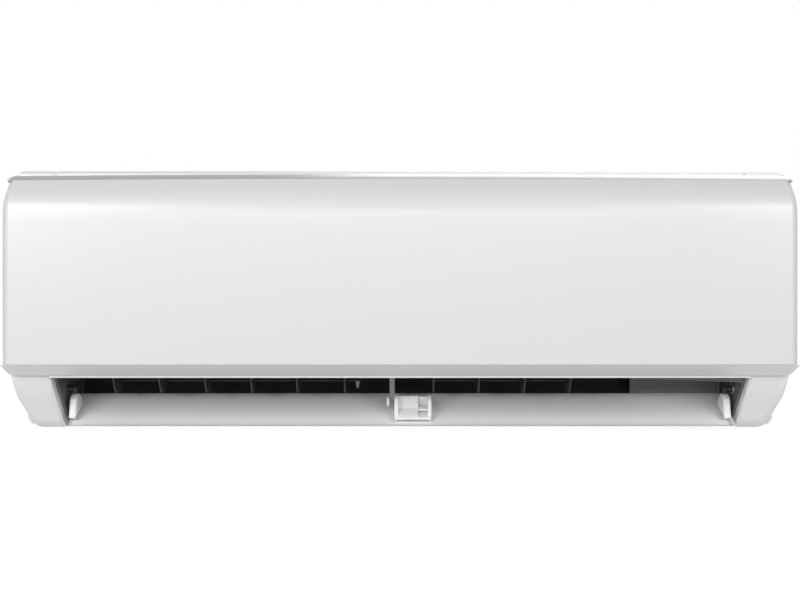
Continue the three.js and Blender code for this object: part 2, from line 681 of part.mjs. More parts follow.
// The wheel: blades through thin discs, a hub on the motor's side, a stub on the other.
function fanWheel() {
  const span = (FAN_RIGHT - FAN_LEFT - 2) / (FAN_DISCS - 1);
  const discs = Array.from({ length: FAN_DISCS }, (_, i) => {
    const x = FAN_LEFT + i * span;
    const closed = i === 0 || i === FAN_DISCS - 1;
    return closed ? onAxis(FAN_RADIUS + 0.6, x, x + 2, 28)
      : cut(onAxis(FAN_RADIUS + 0.6, x, x + 2, 28), onAxis(BLADE_ROOT - 4, x - 1, x + 3, 16));
  });
  const blades = Array.from({ length: BLADES }, (_, i) =>
    alongX(bladeSection((i * 360) / BLADES), FAN_LEFT + 1, FAN_RIGHT - 1),
  );
  const hub = onAxis(12, FAN_RIGHT - 26, FAN_RIGHT + 4, 20);
  const stub = onAxis(SHAFT, FAN_LEFT - 18, FAN_LEFT + 1, 20);
  const bore = onAxis(SHAFT + GAP, FAN_RIGHT - 24.5, FAN_RIGHT + 6, 20);
  return cut(join(discs[0], ...discs.slice(1), ...blades, hub, stub), bore);
}

// The rubber holder that seats the bearing in the casing's end wall.
function bearingHolder(end) {
  const profile = [
    [13.8, -end], [23.2, -end], [23.2, -end + 4], [19, -412.6], [13.8, -412.6], [13.8, -end],
  ];
  const ring = new THREE.LatheGeometry(profile.map(([r, x]) => new THREE.Vector2(r, x)), 18);
  return solid(ring.rotateZ(-Math.PI / 2));
}

// The motor: a drum with a rim round its middle and a boss at each end.
function fanMotor() {
  const outline = [
    [4.4, 306], [13.6, 306], [13.6, 318], [34, 320], [41, 326], [41, 341], [44, 341], [44, 345],
    [41, 345], [41, 360], [34, 366], [13.6, 368], [13.6, 382], [4.4, 382], [4.4, 306],
  ];
  const drum = new THREE.LatheGeometry(outline.map(([r, x]) => new THREE.Vector2(r, x)), 18);
  return solid(drum.rotateZ(-Math.PI / 2));
}

// The cover that clamps the motor: an arched shell with an end wall and two feet.
function motorCover() {
  const arch = [...arc([DEPTH, 0], 47.4, -10, 190, 12), ...arc([DEPTH, 0], 45, 190, -10, 12)];
  const shell = alongX(arch, 322, 386);
  const wallArch = [...arc([DEPTH, 0], 46, 0, 180, 12), [DEPTH - 46, -8], [DEPTH + 46, -8]];
  const endWallPlate = cut(alongX(wallArch, 383, 386), onAxis(10, 380, 390, 20));
  const feet = [-1, 1].map((sign) => {
    const [a, b] = [sign * 45.5, sign * 50].sort((p, q) => p - q);
    return alongX([[DEPTH + a, -8.5], [DEPTH + b, -8.5], [DEPTH + b, -5], [DEPTH + a, -5]], 322, 386);
  });
  return join(shell, endWallPlate, ...feet);
}

// ---------------------------------------------------------------- evaporator
const PACK_THICKNESS = 26;
const FIN_GROOVES = 20; // grooves cut in each pack's face for the gaps between fins
const PACKS = [
  ["fin_pack_front_low", [55, -60], [51, 26], 2],
  ["fin_pack_front_high", [55, 40], [104, 113], 2],
  ["fin_pack_rear", [127, 107], [172, 43], 2],
];

// A slab's side view about its middle line, grown or shrunk by a margin.
function slabOutline([a0, b0], [a1, b1], thickness, margin = 0) {
  const run = Math.hypot(a1 - a0, b1 - b0);
  const [da, db] = [(a1 - a0) / run, (b1 - b0) / run];
  const half = thickness / 2;
  const place = (along, across) => [a0 + along * da - across * db, b0 + along * db + across * da];
  return [
    place(-margin, -half), place(run + margin, -half), place(run + margin, half), place(-margin, half),
  ];
}

function evaporator(group) {
  const metal = finishes.fins();
  for (const [name, from, to] of PACKS) add(group, name, finPack(from, to), metal);
  add(group, "tube_sheet_left", tubeSheet(COIL_LEFT - 3.4, -1), finishes.copper());
  add(group, "tube_sheet_right", tubeSheet(COIL_RIGHT + 0.4, 1), finishes.copper());
  add(group, "drip_tray", dripTray(), finishes.duct());
}

// A pack of fins: a comb-shaped plan carried along the slab.
function finPack(from, to) {
  const run = Math.hypot(to[0] - from[0], to[1] - from[1]);
  const pitch = (COIL_RIGHT - COIL_LEFT) / FIN_GROOVES;
  const half = PACK_THICKNESS / 2;
  const comb = [new THREE.Vector2(COIL_LEFT, half)];
  for (let i = 0; i < FIN_GROOVES; i += 1) {
    const x = COIL_LEFT + i * pitch;
    comb.push(new THREE.Vector2(x, -half), new THREE.Vector2(x + pitch / 2, -half));
    comb.push(new THREE.Vector2(x + pitch / 2, -half + 3), new THREE.Vector2(x + pitch, -half + 3));
  }
  comb.push(new THREE.Vector2(COIL_RIGHT, half));
  const geometry = prism(comb, run);
  const lean = Math.atan2(to[1] - from[1], to[0] - from[0]);
  geometry.rotateX(lean - Math.PI / 2).translate(0, from[0] - DEPTH, from[1]);
  return solid(geometry);
}

// An end plate bent along the three packs, with the return bends brazed into it.
function tubeSheet(x, outward) {
  const plates = PACKS.map(([, from, to]) => alongX(slabOutline(from, to, PACK_THICKNESS + 2, 3), x, x + 3));
  const middles = [
    alongX([[44, 20], [62, 20], [70, 46], [44, 46]], x, x + 3),
    alongX([[94, 100], [112, 117], [130, 108], [118, 92]], x, x + 3),
  ];
  const bends = PACKS.flatMap(([, from, to, count]) => returnBends(x + 1.5, outward, from, to, count));
  return join(plates[0], ...plates.slice(1), ...middles, ...bends);
}

// Half-ring bends in a row along a pack, on one side of its end plate.
function returnBends(x, outward, from, to, count) {
  const at = (t) => [from[0] + t * (to[0] - from[0]), from[1] + t * (to[1] - from[1])];
  return Array.from({ length: count }, (_, i) => {
    const [a0, b0] = at((i + 0.24) / count);
    const [a1, b1] = at((i + 0.82) / count);
    const [am, bm] = [(a0 + a1) / 2, (b0 + b1) / 2];
    const reach = 15 * outward;
    const route = [
      [x, a0, b0], [x + reach * 0.5, a0, b0], [x + reach * 0.88, (a0 + am) / 2, (b0 + bm) / 2],
      [x + reach, am, bm], [x + reach * 0.88, (a1 + am) / 2, (b1 + bm) / 2],
      [x + reach * 0.5, a1, b1], [x, a1, b1],
    ];
    return tube(route, 3.4, 5, 5);
  });
}

// The tray under the front packs; its underside is the duct's upper wall.
function dripTray() {
  const outline = [
    [43, -92.6], [75, -75], [80.2, -64], [79.4, -54], [77, -54], [77.2, -63], [72.6, -72.6],
    [43.4, -88.6], [37.6, -84], [37.6, -70], [35, -70], [35, -86],
  ];
  const ends = [
    [43, -92.6], [75, -75], [80.2, -64], [79.4, -54], [77, -54], [68, -66], [37.6, -70], [35, -70],
    [35, -86],
  ];
  const [left, right] = [-BAY + WALL + 2 * GAP, PARTITION - 2];
  const spigot = cut(
    alongX(arc([50, -78], 7, 0, 330, 11), right - 1, right + 22),
    alongX(arc([50, -78], 5, 0, 330, 11), right - 4, right + 24),
  );
  const walls = [alongX(ends, left, left + 2.4), alongX(ends, right - 2.4, right)];
  return cut(
    join(alongX(outline, left, right), ...walls, spigot),
    alongX(arc([50, -78], 5, 0, 330, 11), right - 5, right + 24),
  );
}

// ---------------------------------------------------------------- filters
const FILTER_PATH = smooth([[24, -66], [24, 20], [25, 92], [33, 116], [58, 139.5], [84, 152]], 12);

function filters(group) {
  const net = finishes.filter();
  add(group, "filter_left", filterPanel(-420, FILTER_SPLIT - 3), net);
  add(group, "filter_right", filterPanel(FILTER_SPLIT + 3, 296), net);
}

// A bent filter: a frame of ribs round thin netted fields.
function filterPanel(x0, x1) {
  const [columns, edge, rib] = [4, 7, 3.4];
  const whole = alongX(wallOutline(FILTER_PATH, -2.2), x0, x1);
  const cell = (x1 - x0 - 2 * edge + rib) / columns;
  const rows = [[-60, -18], [-14.6, 28], [31.4, 74], [77.4, 106]];
  const fields = [];
  for (let i = 0; i < columns; i += 1) {
    const x = x0 + edge + i * cell;
    for (const [low, high] of rows) fields.push(block([x, 22, low], [x + cell - rib, 25.3, high]));
  }
  const tabs = [0.25, 0.75].map((t) => {
    const x = x0 + t * (x1 - x0);
    return block([x - 11, 18.4, -64], [x + 11, 24.6, -61]);
  });
  return join(cut(whole, ...fields), ...tabs);
}

// ---------------------------------------------------------------- controls and pipes
function controls(group) {
  const [x0, x1] = [323, 420];
  const [front, back] = [30, 73];
  const [low, high] = [-66, 112];
  const shell = cut(
    block([x0, front, low], [x1, back, high]),
    block([x0 + 2, front - 1, low + 2], [x1 - 2, back - 2, high - 2]),
  );
  const outlet = alongX(arc([60, 60], 8, 0, 330, 11), x0 - 1, x0 + 3);
  add(group, "control_box", cut(shell, outlet), finishes.steel());
  const lid = join(
    block([x0, front - 3, low], [x1, front - GAP, high]),
    block([x0 + 20, front - 5.4, low + 60], [x1 - 20, front - 2, high - 14]),
  );
  const hole = alongY(arc([BUTTON[0], BUTTON[2]], 4.9, 0, 342, 19), front - 6, front + 2);
  add(group, "control_box_lid", cut(lid, hole), finishes.casing());
  add(group, "circuit_board", circuitBoard(x0 + 6, x1 - 6), finishes.board());
  add(group, "terminal_block", terminalBlock(x0 + 14), finishes.dark());
  add(group, "receiver_board", receiverBoard(), finishes.board());
  add(group, "room_sensor", roomSensor(), finishes.copper());
  add(group, "run_button", runButton(), finishes.clip());
}

// The main board with its tall parts: capacitor, relay, transformer and heat sink.
function circuitBoard(x0, x1) {
  const board = block([x0, 66.4, -18], [x1, 68, 104]);
  const can = new THREE.CylinderGeometry(10, 10, 26, 16);
  const capacitor = solid(can.translate(x0 + 20, 54 - DEPTH, 78));
  const relay = block([x0 + 44, 50, 70], [x0 + 62, 67, 92]);
  const transformer = block([x0 + 40, 46, 14], [x0 + 74, 67, 46]);
  const fins = [0, 1, 2, 3, 4].map((i) => block([x0 + 8 + i * 5, 48, 10], [x0 + 10 + i * 5, 67, 50]));
  const pins = block([x0 + 12, 60, -12], [x0 + 70, 67, -4]);
  return join(board, capacitor, relay, transformer, ...fins, pins);
}

// A block of five terminals with walls between them.
function terminalBlock(x0) {
  const base = block([x0, 56, -58], [x0 + 70, 70.6, -32]);
  const rooms = [0, 1, 2, 3, 4].map((i) =>
    block([x0 + 3 + i * 13.4, 52, -54], [x0 + 13.4 + i * 13.4, 62, -36]),
  );
  return cut(base, ...rooms);
}

// The small board behind the panel that hears the remote control.
function receiverBoard() {
  const board = block([330, 18, -67.6], [392, 19.6, -56]);
  const eye = new THREE.SphereGeometry(3, 10, 6);
  return join(board, solid(eye.translate(346, 18 - DEPTH, -62)));
}

// The room air sensor: a bead on a clip at the coil's right end.
function roomSensor() {
  const bead = new THREE.CapsuleGeometry(2.6, 14, 3, 8);
  const clipPlate = block([303.6, 30, 60], [310, 31.6, 84]);
  return join(clipPlate, solid(bead.translate(306.8, 29 - DEPTH, 72)));
}

const BUTTON = [410, 31.2, 104]; // the button's place: along, depth of its flange, height

// The manual run button in the control box's lid, pressed with the panel open.
function runButton() {
  const profile = [[0, 0], [5.8, 0], [5.8, 1], [4.4, 1], [4.4, 5.2], [3.6, 6], [0, 6.2]];
  const cap = new THREE.LatheGeometry(profile.map(([r, h]) => new THREE.Vector2(r, h)), 16);
  return solid(cap.rotateX(Math.PI).translate(BUTTON[0], BUTTON[1] - DEPTH, BUTTON[2]));
}

// The two refrigerant lines, laid along the recess behind the casing, with flare nuts.
function pipes(group) {
  add(group, "gas_pipe", pipeRun(416, 78, 195, -140, 8, -190), finishes.copper());
  add(group, "liquid_pipe", pipeRun(399, 58, 197, -112, 4.8, -130), finishes.copper());
}

// One line: from the coil's end, out through the gate in the rear wall, down and along.
function pipeRun(x, rise, depth, z, radius, end) {
  const route = [
    [314, 148, rise], [350, 150, rise - 2], [x - 16, 154, rise - 10], [x, 165, rise - 22],
    [x, 180, rise - 36], [x, depth, 10],
    [x, depth, -30], [x, depth, z + 46], [x - 5, depth, z + 20], [x - 20, depth, z + 5],
    [x - 42, depth, z], [340, depth, z],
  ];
  const bent = tube(route, radius, 15, 8);
  const straight = roundX([depth, z], radius, end, 342, 8);
  const nut = roundX([depth, z], radius + 4.6, end - 4, end + 16, 6);
  const cone = roundX([depth, z], radius + 1.6, end - 12, end - 3, 10);
  return join(bent, straight, nut, cone);
}

// ---------------------------------------------------------------- assembly
const unit = new THREE.Group();
casing(unit);
frontPanel(unit);
louver(unit);
vanes(unit);
louverDrive(unit);
fanDrive(unit);
evaporator(unit);
filters(unit);
controls(unit);
pipes(unit);

export default unit;
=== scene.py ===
"""Looks of a wall-hung mini split indoor unit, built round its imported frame.

A place is worked out in millimetres as along, depth and height. Along runs with the
unit to the right, depth goes back from the front panel's face, and height is above the
unit's middle. A mesh is written in metres, in the frame of the CAD.
"""

import logging
import math
from dataclasses import dataclass, field
from enum import Enum
from typing import Optional, Sequence

import bmesh
import bpy
import numpy as np
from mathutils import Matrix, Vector


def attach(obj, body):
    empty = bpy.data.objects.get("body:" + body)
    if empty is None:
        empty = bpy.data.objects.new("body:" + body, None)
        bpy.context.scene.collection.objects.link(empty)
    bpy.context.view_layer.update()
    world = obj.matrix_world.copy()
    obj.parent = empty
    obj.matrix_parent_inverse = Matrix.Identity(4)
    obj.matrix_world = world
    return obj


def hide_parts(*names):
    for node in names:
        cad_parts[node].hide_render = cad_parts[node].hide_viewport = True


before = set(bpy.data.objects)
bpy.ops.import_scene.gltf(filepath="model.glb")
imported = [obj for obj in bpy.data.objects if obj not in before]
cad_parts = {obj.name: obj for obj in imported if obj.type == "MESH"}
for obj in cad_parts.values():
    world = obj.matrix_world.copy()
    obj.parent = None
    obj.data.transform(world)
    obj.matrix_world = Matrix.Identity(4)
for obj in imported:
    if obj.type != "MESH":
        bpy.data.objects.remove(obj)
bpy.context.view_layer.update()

log = logging.getLogger("indoor_unit")

Array = np.ndarray
Places = Sequence[Sequence[float]]
Tree = bpy.types.NodeTree
Socket = bpy.types.NodeSocket

MM = 0.001
DEPTH = 215.0  # from the wall to the front of the panel
WIDTH = 965.0  # over the panel and the cheeks
HALF = WIDTH / 2
BAY = HALF - 49.0  # half the clear width between the cheeks
TOP = 164.0
BOTTOM = -165.0
GAP = 0.4
LOUVER_PIVOT = (99.4, -116.2)
LOUVER_OPEN = 63.0  # degrees from closed to the open place that it rests in
FAN_AXIS = (125.0, -38.0)
STRUT = -10.0
FILTER_SPLIT = -50.0
PANEL_HINGE = (52.0, 147.5)
OFF_AXIS = (0.213, 0.61, 0.763)  # a direction that no tube of the unit runs along


# ---- outlines
def curve_through(places: Places, steps: int) -> Array:
    """Smooth curve through places.

    On each stretch the point is a cubic of t that meets both places, and its slope at
    each is half the step from the place before to the place after.

    Args:
        places: Points to pass through.
        steps: Number of equal steps of the parameter over the whole curve.

    Returns:
        Array of steps + 1 points.
    """
    p = np.asarray(places, float)
    t = np.linspace(0, len(p) - 1, steps + 1)
    i = np.minimum(t.astype(int), len(p) - 2)
    w = (t - i)[:, None]
    p0, p1, p2 = p[np.maximum(i - 1, 0)], p[i], p[i + 1]
    p3 = p[np.minimum(i + 2, len(p) - 1)]
    v0, v1 = (p2 - p0) / 2, (p3 - p1) / 2
    cubic = (2 * p1 - 2 * p2 + v0 + v1) * w**3
    return cubic + (-3 * p1 + 3 * p2 - 2 * v0 - v1) * w**2 + v0 * w + p1


def arc(centre: Sequence[float], radius: float, start: float, end: float, steps: int) -> Array:
    """Points of a circle's arc between two angles in degrees, both ends included."""
    angle = np.radians(np.linspace(start, end, steps + 1))
    return np.asarray(centre, float) + radius * np.stack([np.cos(angle), np.sin(angle)], 1)


def joined(*paths: Places) -> Array:
    """Paths one after the other, without points that repeat."""
    points = np.concatenate([np.asarray(path, float).reshape(-1, 2) for path in paths])
    apart = np.linalg.norm(points - np.roll(points, 1, axis=0), axis=1) > 1e-4
    return points[apart]


def softened(outline: Places, reach: float, steps: int = 4, closed: bool = True) -> Array:
    """Outline whose sharp corners are eased.

    A corner B between A and C, each at most reach away along its side, becomes the curve
    (1 - t)^2 A + 2 t (1 - t) B + t^2 C. Corners that turn by under 14 degrees stay.

    Args:
        outline: Points of the outline.
        reach: Distance before and after a corner that the curve takes.
        steps: Steps of the curve at each corner.
        closed: Whether the last point joins the first.

    Returns:
        Points of the eased outline.
    """
    b = np.asarray(outline, float)
    before, after = np.roll(b, 1, axis=0) - b, np.roll(b, -1, axis=0) - b
    run0, run1 = np.linalg.norm(before, axis=1), np.linalg.norm(after, axis=1)
    cosine = (before * after).sum(1) / (run0 * run1)
    sharp = cosine > -math.cos(math.radians(14))
    if not closed:
        sharp[[0, -1]] = False
    size = np.where(sharp, np.minimum(reach, 0.45 * np.minimum(run0, run1)), 0)[:, None]
    a = b + before / run0[:, None] * size
    c = b + after / run1[:, None] * size
    t = np.linspace(0, 1, steps + 1)[None, :, None]
    eased = (1 - t) ** 2 * a[:, None] + 2 * t * (1 - t) * b[:, None] + t**2 * c[:, None]
    points = eased.reshape(-1, 2)
    apart = np.linalg.norm(points - np.roll(points, 1, axis=0), axis=1) > 1e-4
    if not closed:
        apart[0] = True
    return points[apart]


def left_of(path: Array, distance: float) -> Array:
    """Path moved to its left: each point by the distance along the normal of its chord."""
    chord = np.gradient(path, axis=0)
    chord /= np.linalg.norm(chord, axis=1)[:, None]
    return path + distance * np.stack([-chord[:, 1], chord[:, 0]], 1)


def inward(outline: Array) -> Array:
    """Inward step of each point of a closed outline that moves its sides by one unit."""
    side = np.roll(outline, -1, axis=0) - outline
    side /= np.linalg.norm(side, axis=1)[:, None]
    normal = np.stack([-side[:, 1], side[:, 0]], 1)
    area = np.cross(outline, np.roll(outline, -1, axis=0)).sum()
    both = normal + np.roll(normal, 1, axis=0)
    both /= np.maximum((both**2).sum(1), 0.8)[:, None] / 2
    return both * np.sign(area)


def turned(places: Array, degrees: float, about: Sequence[float] = LOUVER_PIVOT) -> Array:
    """Places about a centre turned by an angle, then moved to that centre."""
    c, s = math.cos(math.radians(degrees)), math.sin(math.radians(degrees))
    return np.asarray(places) @ np.array([[c, s], [-s, c]]) + np.asarray(about)


# ---- meshes
def carried(outline: Array, along: Array, inset: Optional[Array] = None) -> Array:
    """Grid of a side-view outline carried along the unit.

    Point (i, j) is outline point j at along i, moved inwards by inset i.

    Args:
        outline: Depth and height of each point.
        along: Place of each section.
        inset: How far each section shrinks, or None.

    Returns:
        Array of sections by points by three.
    """
    rows = np.broadcast_to(outline, (len(along), *outline.shape)).copy()
    if inset is not None:
        rows += np.asarray(inset)[:, None, None] * inward(outline)
    x = np.broadcast_to(np.asarray(along, float)[:, None], rows.shape[:2])
    return np.stack([x, rows[..., 0], rows[..., 1]], -1)


def rounded_run(start: float, end: float, radius: float, steps: int = 4) -> tuple[Array, Array]:
    """Sections of a run with rounded ends.

    Near an end the section shrinks by radius (1 - sin a) where it lies radius (1 - cos a)
    inside the end, for a from 0 to 90 degrees.

    Args:
        start: Along of the first end.
        end: Along of the last end.
        radius: Radius of both ends' edges.
        steps: Sections in each rounding.

    Returns:
        Along and inset of each section.
    """
    angle = np.linspace(0, math.pi / 2, steps + 1)
    back, shrink = radius * (1 - np.cos(angle)), radius * (1 - np.sin(angle))
    sign = math.copysign(1, end - start)
    along = np.concatenate([start + sign * back, (end - sign * back)[::-1]])
    return along, np.concatenate([shrink, shrink[::-1]])


@dataclass
class Surface:
    """Vertices and faces of one mesh while it is put together, in millimetres."""

    points: list[Array] = field(default_factory=list)
    faces: list[list[int]] = field(default_factory=list)
    count: int = 0

    def grid(
        self, rows: Array, ring: bool = True, loop: bool = False, caps: bool = True
    ) -> "Surface":
        """Adds a grid of quads.

        Args:
            rows: Array of rows by columns by three.
            ring: Whether each row closes on itself.
            loop: Whether the last row joins the first.
            caps: Whether one face closes the first and one the last row of a ring.

        Returns:
            This surface.
        """
        n, m = rows.shape[:2]
        index = np.arange(n * m).reshape(n, m) + self.count
        if loop:
            index = np.concatenate([index, index[:1]])
        if ring:
            index = np.concatenate([index, index[:, :1]], 1)
        a, b = index[:-1, :-1], index[1:, :-1]
        c, d = index[1:, 1:], index[:-1, 1:]
        self.faces += np.stack([a, b, c, d], -1).reshape(-1, 4).tolist()
        if ring and caps and not loop:
            self.faces += [index[0, :-1].tolist(), index[-1, -2::-1].tolist()]
        self.points.append(rows.reshape(-1, 3))
        self.count += n * m
        return self

    def run(self, outline: Array, start: float, end: float, radius: float = 0.0) -> "Surface":
        """Adds an outline carried from start to end, with both end edges rounded."""
        if radius:
            return self.grid(carried(outline, *rounded_run(start, end, radius)))
        return self.grid(carried(outline, np.array([start, end])))

    def tube(self, route: Array, radius: Array, sides: int = 24) -> "Surface":
        """Adds a round tube: at each route point a circle square to the route's direction.

        Args:
            route: Points of the middle line.
            radius: Radius at each point, or one for all.
            sides: Corners of the circle.

        Returns:
            This surface.
        """
        way = np.gradient(route, axis=0)
        way /= np.linalg.norm(way, axis=1)[:, None]
        across = np.cross(way, OFF_AXIS)
        across /= np.linalg.norm(across, axis=1)[:, None]
        other = np.cross(way, across)
        angle = np.linspace(0, 2 * math.pi, sides, endpoint=False)
        r = np.broadcast_to(np.asarray(radius, float), (len(route),))[:, None, None]
        cosine, sine = np.cos(angle)[None, :, None], np.sin(angle)[None, :, None]
        ring = cosine * across[:, None] + sine * other[:, None]
        return self.grid(route[:, None] + r * ring)

    def lathe(self, profile: Places, centre: Sequence[float], sides: int = 48) -> "Surface":
        """Adds a profile of radius and along turned about a line along the unit.

        Args:
            profile: Closed profile, as radius and along.
            centre: Depth and height of the line.
            sides: Steps of the full turn.

        Returns:
            This surface.
        """
        p = np.asarray(profile, float)
        angle = np.linspace(0, 2 * math.pi, sides, endpoint=False)[:, None]
        depth = centre[0] + p[None, :, 0] * np.cos(angle)
        height = centre[1] + p[None, :, 0] * np.sin(angle)
        rows = np.stack([np.broadcast_to(p[None, :, 1], depth.shape), depth, height], -1)
        return self.grid(rows, ring=True, loop=True, caps=False)

    def mesh(self, name: str, outwards: bool = True) -> bpy.types.Object:
        """Makes the object, in metres.

        Args:
            name: Name of the piece.
            outwards: Whether faces are turned to point out of each closed shell.

        Returns:
            The new object, at the origin.
        """
        points = np.concatenate(self.points)
        points = (points - np.array([0, DEPTH, 0])) * MM
        data = bpy.data.meshes.new(name)
        data.from_pydata(points, [], self.faces)
        work = bmesh.new()
        work.from_mesh(data)
        bmesh.ops.remove_doubles(work, verts=work.verts, dist=2e-6)
        bmesh.ops.dissolve_degenerate(work, edges=work.edges, dist=1e-6)
        if outwards:
            bmesh.ops.recalc_face_normals(work, faces=work.faces)
        work.to_mesh(data)
        work.free()
        data.polygons.foreach_set("use_smooth", np.ones(len(data.polygons), bool))
        made = bpy.data.objects.new(name, data)
        bpy.context.scene.collection.objects.link(made)
        return made


def thicken(piece: bpy.types.Object, thickness: float) -> None:
    """Gives a sheet its wall thickness in millimetres, on its inner side."""
    wall = piece.modifiers.new("wall", "SOLIDIFY")
    wall.thickness, wall.offset = thickness * MM, -1.0


def ease_edges(
    piece: bpy.types.Object, width: float, segments: int = 3, angle: float = 32.0
) -> None:
    """Rounds a piece's sharp edges and keeps its flat faces flat in the light."""
    bevel = piece.modifiers.new("edges", "BEVEL")
    bevel.width, bevel.segments = width * MM, segments
    bevel.limit_method, bevel.angle_limit = "ANGLE", math.radians(angle)
    even_light(piece)


def even_light(piece: bpy.types.Object) -> None:
    """Weights the normals by face area, so that big faces stay flat beside small ones."""
    normals = piece.modifiers.new("normals", "WEIGHTED_NORMAL")
    normals.mode, normals.weight, normals.keep_sharp = "FACE_AREA", 60, False


# ---- finishes
class Grain(Enum):
    """How a finish's fine surface pattern runs."""

    MOULDED = "even fine texture of a moulded plastic"
    BRUSHED = "fine lines along the unit"
    SPANGLED = "crystals of hot-dip zinc"
    FINNED = "close metal fins, one beside the other along the unit"
    DRAWN = "smooth drawn metal with faint cloudy tarnish"


@dataclass(frozen=True)
class Finish:
    """One finish of the unit.

    Attributes:
        name: Plain name of the finish.
        colour: Its sRGB colour, 0 to 255 a channel.
        roughness: Middle roughness.
        metallic: Share of metal.
        grain: Kind of fine pattern.
        grain_size: Size of the pattern's cells in millimetres.
        relief: Strength of the pattern's bump.
        clouding: How far the colour drifts over a hand's width, as a share.
        coat: Weight of a clear gloss over it.
    """

    name: str
    colour: tuple[int, int, int]
    roughness: float
    metallic: float = 0.0
    grain: Grain = Grain.MOULDED
    grain_size: float = 0.7
    relief: float = 0.1
    clouding: float = 0.02
    coat: float = 0.0

    def linear(self, gain: float = 1.0) -> tuple[float, float, float, float]:
        """The colour as linear light, made lighter or darker by a gain."""
        share = np.asarray(self.colour) / 255
        light = np.where(share <= 0.04045, share / 12.92, ((share + 0.055) / 1.055) ** 2.4)
        return (*np.clip(light * gain, 0, 1).tolist(), 1.0)

    def material(self) -> bpy.types.Material:
        """Builds the node material once and returns it after that."""
        found = bpy.data.materials.get(self.name)
        if found:
            return found
        made = bpy.data.materials.new(self.name)
        made.use_nodes = True
        made.diffuse_color = self.linear()
        tree = made.node_tree
        tree.nodes.clear()
        out = tree.nodes.new("ShaderNodeOutputMaterial")
        shader = tree.nodes.new("ShaderNodeBsdfPrincipled")
        shader.inputs["Metallic"].default_value = self.metallic
        shader.inputs["Coat Weight"].default_value = self.coat
        shader.inputs["Coat Roughness"].default_value = 0.3
        tree.links.new(shader.outputs["BSDF"], out.inputs["Surface"])
        place = tree.nodes.new("ShaderNodeTexCoord").outputs["Object"]
        drift = self._noise(tree, place, 9.0, 3.0)
        fine, height = self._grain(tree, place)
        self._colour(tree, shader, drift, fine)
        rough = tree.nodes.new("ShaderNodeMapRange")
        rough.inputs["To Min"].default_value = max(self.roughness - 0.05, 0.02)
        rough.inputs["To Max"].default_value = min(self.roughness + 0.05, 1.0)
        tree.links.new(fine, rough.inputs["Value"])
        tree.links.new(rough.outputs["Result"], shader.inputs["Roughness"])
        bump = tree.nodes.new("ShaderNodeBump")
        bump.inputs["Strength"].default_value = self.relief
        bump.inputs["Distance"].default_value = self.grain_size * MM * 0.25
        tree.links.new(height, bump.inputs["Height"])
        tree.links.new(bump.outputs["Normal"], shader.inputs["Normal"])
        return made

    @staticmethod
    def _noise(tree: Tree, place: Socket, scale: float, detail: float) -> Socket:
        """Adds a cloud pattern of the given scale and returns its value."""
        node = tree.nodes.new("ShaderNodeTexNoise")
        node.inputs["Scale"].default_value = scale
        node.inputs["Detail"].default_value = detail
        tree.links.new(place, node.inputs["Vector"])
        return node.outputs["Fac"]

    def _colour(self, tree: Tree, shader: bpy.types.Node, drift: Socket, fine: Socket) -> None:
        """Blends the lighter and darker shade by the drift and, a little, by the grain."""
        share = tree.nodes.new("ShaderNodeMix")
        share.data_type = "FLOAT"
        share.inputs[0].default_value = 0.6 if self.grain is Grain.SPANGLED else 0.25
        tree.links.new(drift, share.inputs[2])
        tree.links.new(fine, share.inputs[3])
        shade = tree.nodes.new("ShaderNodeMix")
        shade.data_type = "RGBA"
        shade.inputs[6].default_value = self.linear(1 - self.clouding)
        shade.inputs[7].default_value = self.linear(1 + self.clouding)
        tree.links.new(share.outputs[0], shade.inputs[0])
        tree.links.new(shade.outputs[2], shader.inputs["Base Color"])

    def _grain(self, tree: Tree, place: Socket) -> tuple[Socket, Socket]:
        """Adds the fine pattern and returns its value for roughness and for height."""
        scale = 1 / (self.grain_size * MM)
        if self.grain in (Grain.MOULDED, Grain.DRAWN):
            fine = self._noise(tree, place, scale if self.grain is Grain.MOULDED else 60.0, 2.0)
            return fine, fine
        if self.grain is Grain.SPANGLED:
            cells = tree.nodes.new("ShaderNodeTexVoronoi")
            cells.inputs["Scale"].default_value = scale
            tree.links.new(place, cells.inputs["Vector"])
            tone = tree.nodes.new("ShaderNodeSeparateColor")
            tree.links.new(cells.outputs["Color"], tone.inputs["Color"])
            return tone.outputs["Red"], tone.outputs["Red"]
        stretch = tree.nodes.new("ShaderNodeMapping")
        tree.links.new(place, stretch.inputs["Vector"])
        if self.grain is Grain.BRUSHED:
            stretch.inputs["Scale"].default_value = (0.012, 1.0, 1.0)
            fine = self._noise(tree, stretch.outputs["Vector"], scale, 2.0)
            return fine, fine
        lines = tree.nodes.new("ShaderNodeTexWave")
        lines.bands_direction = "X"
        lines.inputs["Scale"].default_value = scale / 3.1831
        lines.inputs["Distortion"].default_value = 0.0
        tree.links.new(stretch.outputs["Vector"], lines.inputs["Vector"])
        return lines.outputs["Fac"], lines.outputs["Fac"]


PANEL_WHITE = Finish(
    "panel white", (209, 209, 210), 0.3, grain_size=0.9, relief=0.03, clouding=0.006, coat=0.25
)
CASING_WHITE = Finish(
    "casing white", (236, 236, 237), 0.42, grain_size=0.6, relief=0.1, clouding=0.01
)
# The louver's white is lighter than the casing's white of the same plastic. This is painted light:
# it makes up for the shade under the casing on the blade, and it brightens the lip's lower edge.
LOUVER_WHITE_PAINTED_LIGHT = Finish(
    "louver white painted light", (248, 247, 246), 0.4, grain_size=0.6, relief=0.08, clouding=0.01
)
CLIP_WHITE = Finish(
    "clip white", (232, 232, 231), 0.42, grain_size=0.5, relief=0.08, clouding=0.01
)
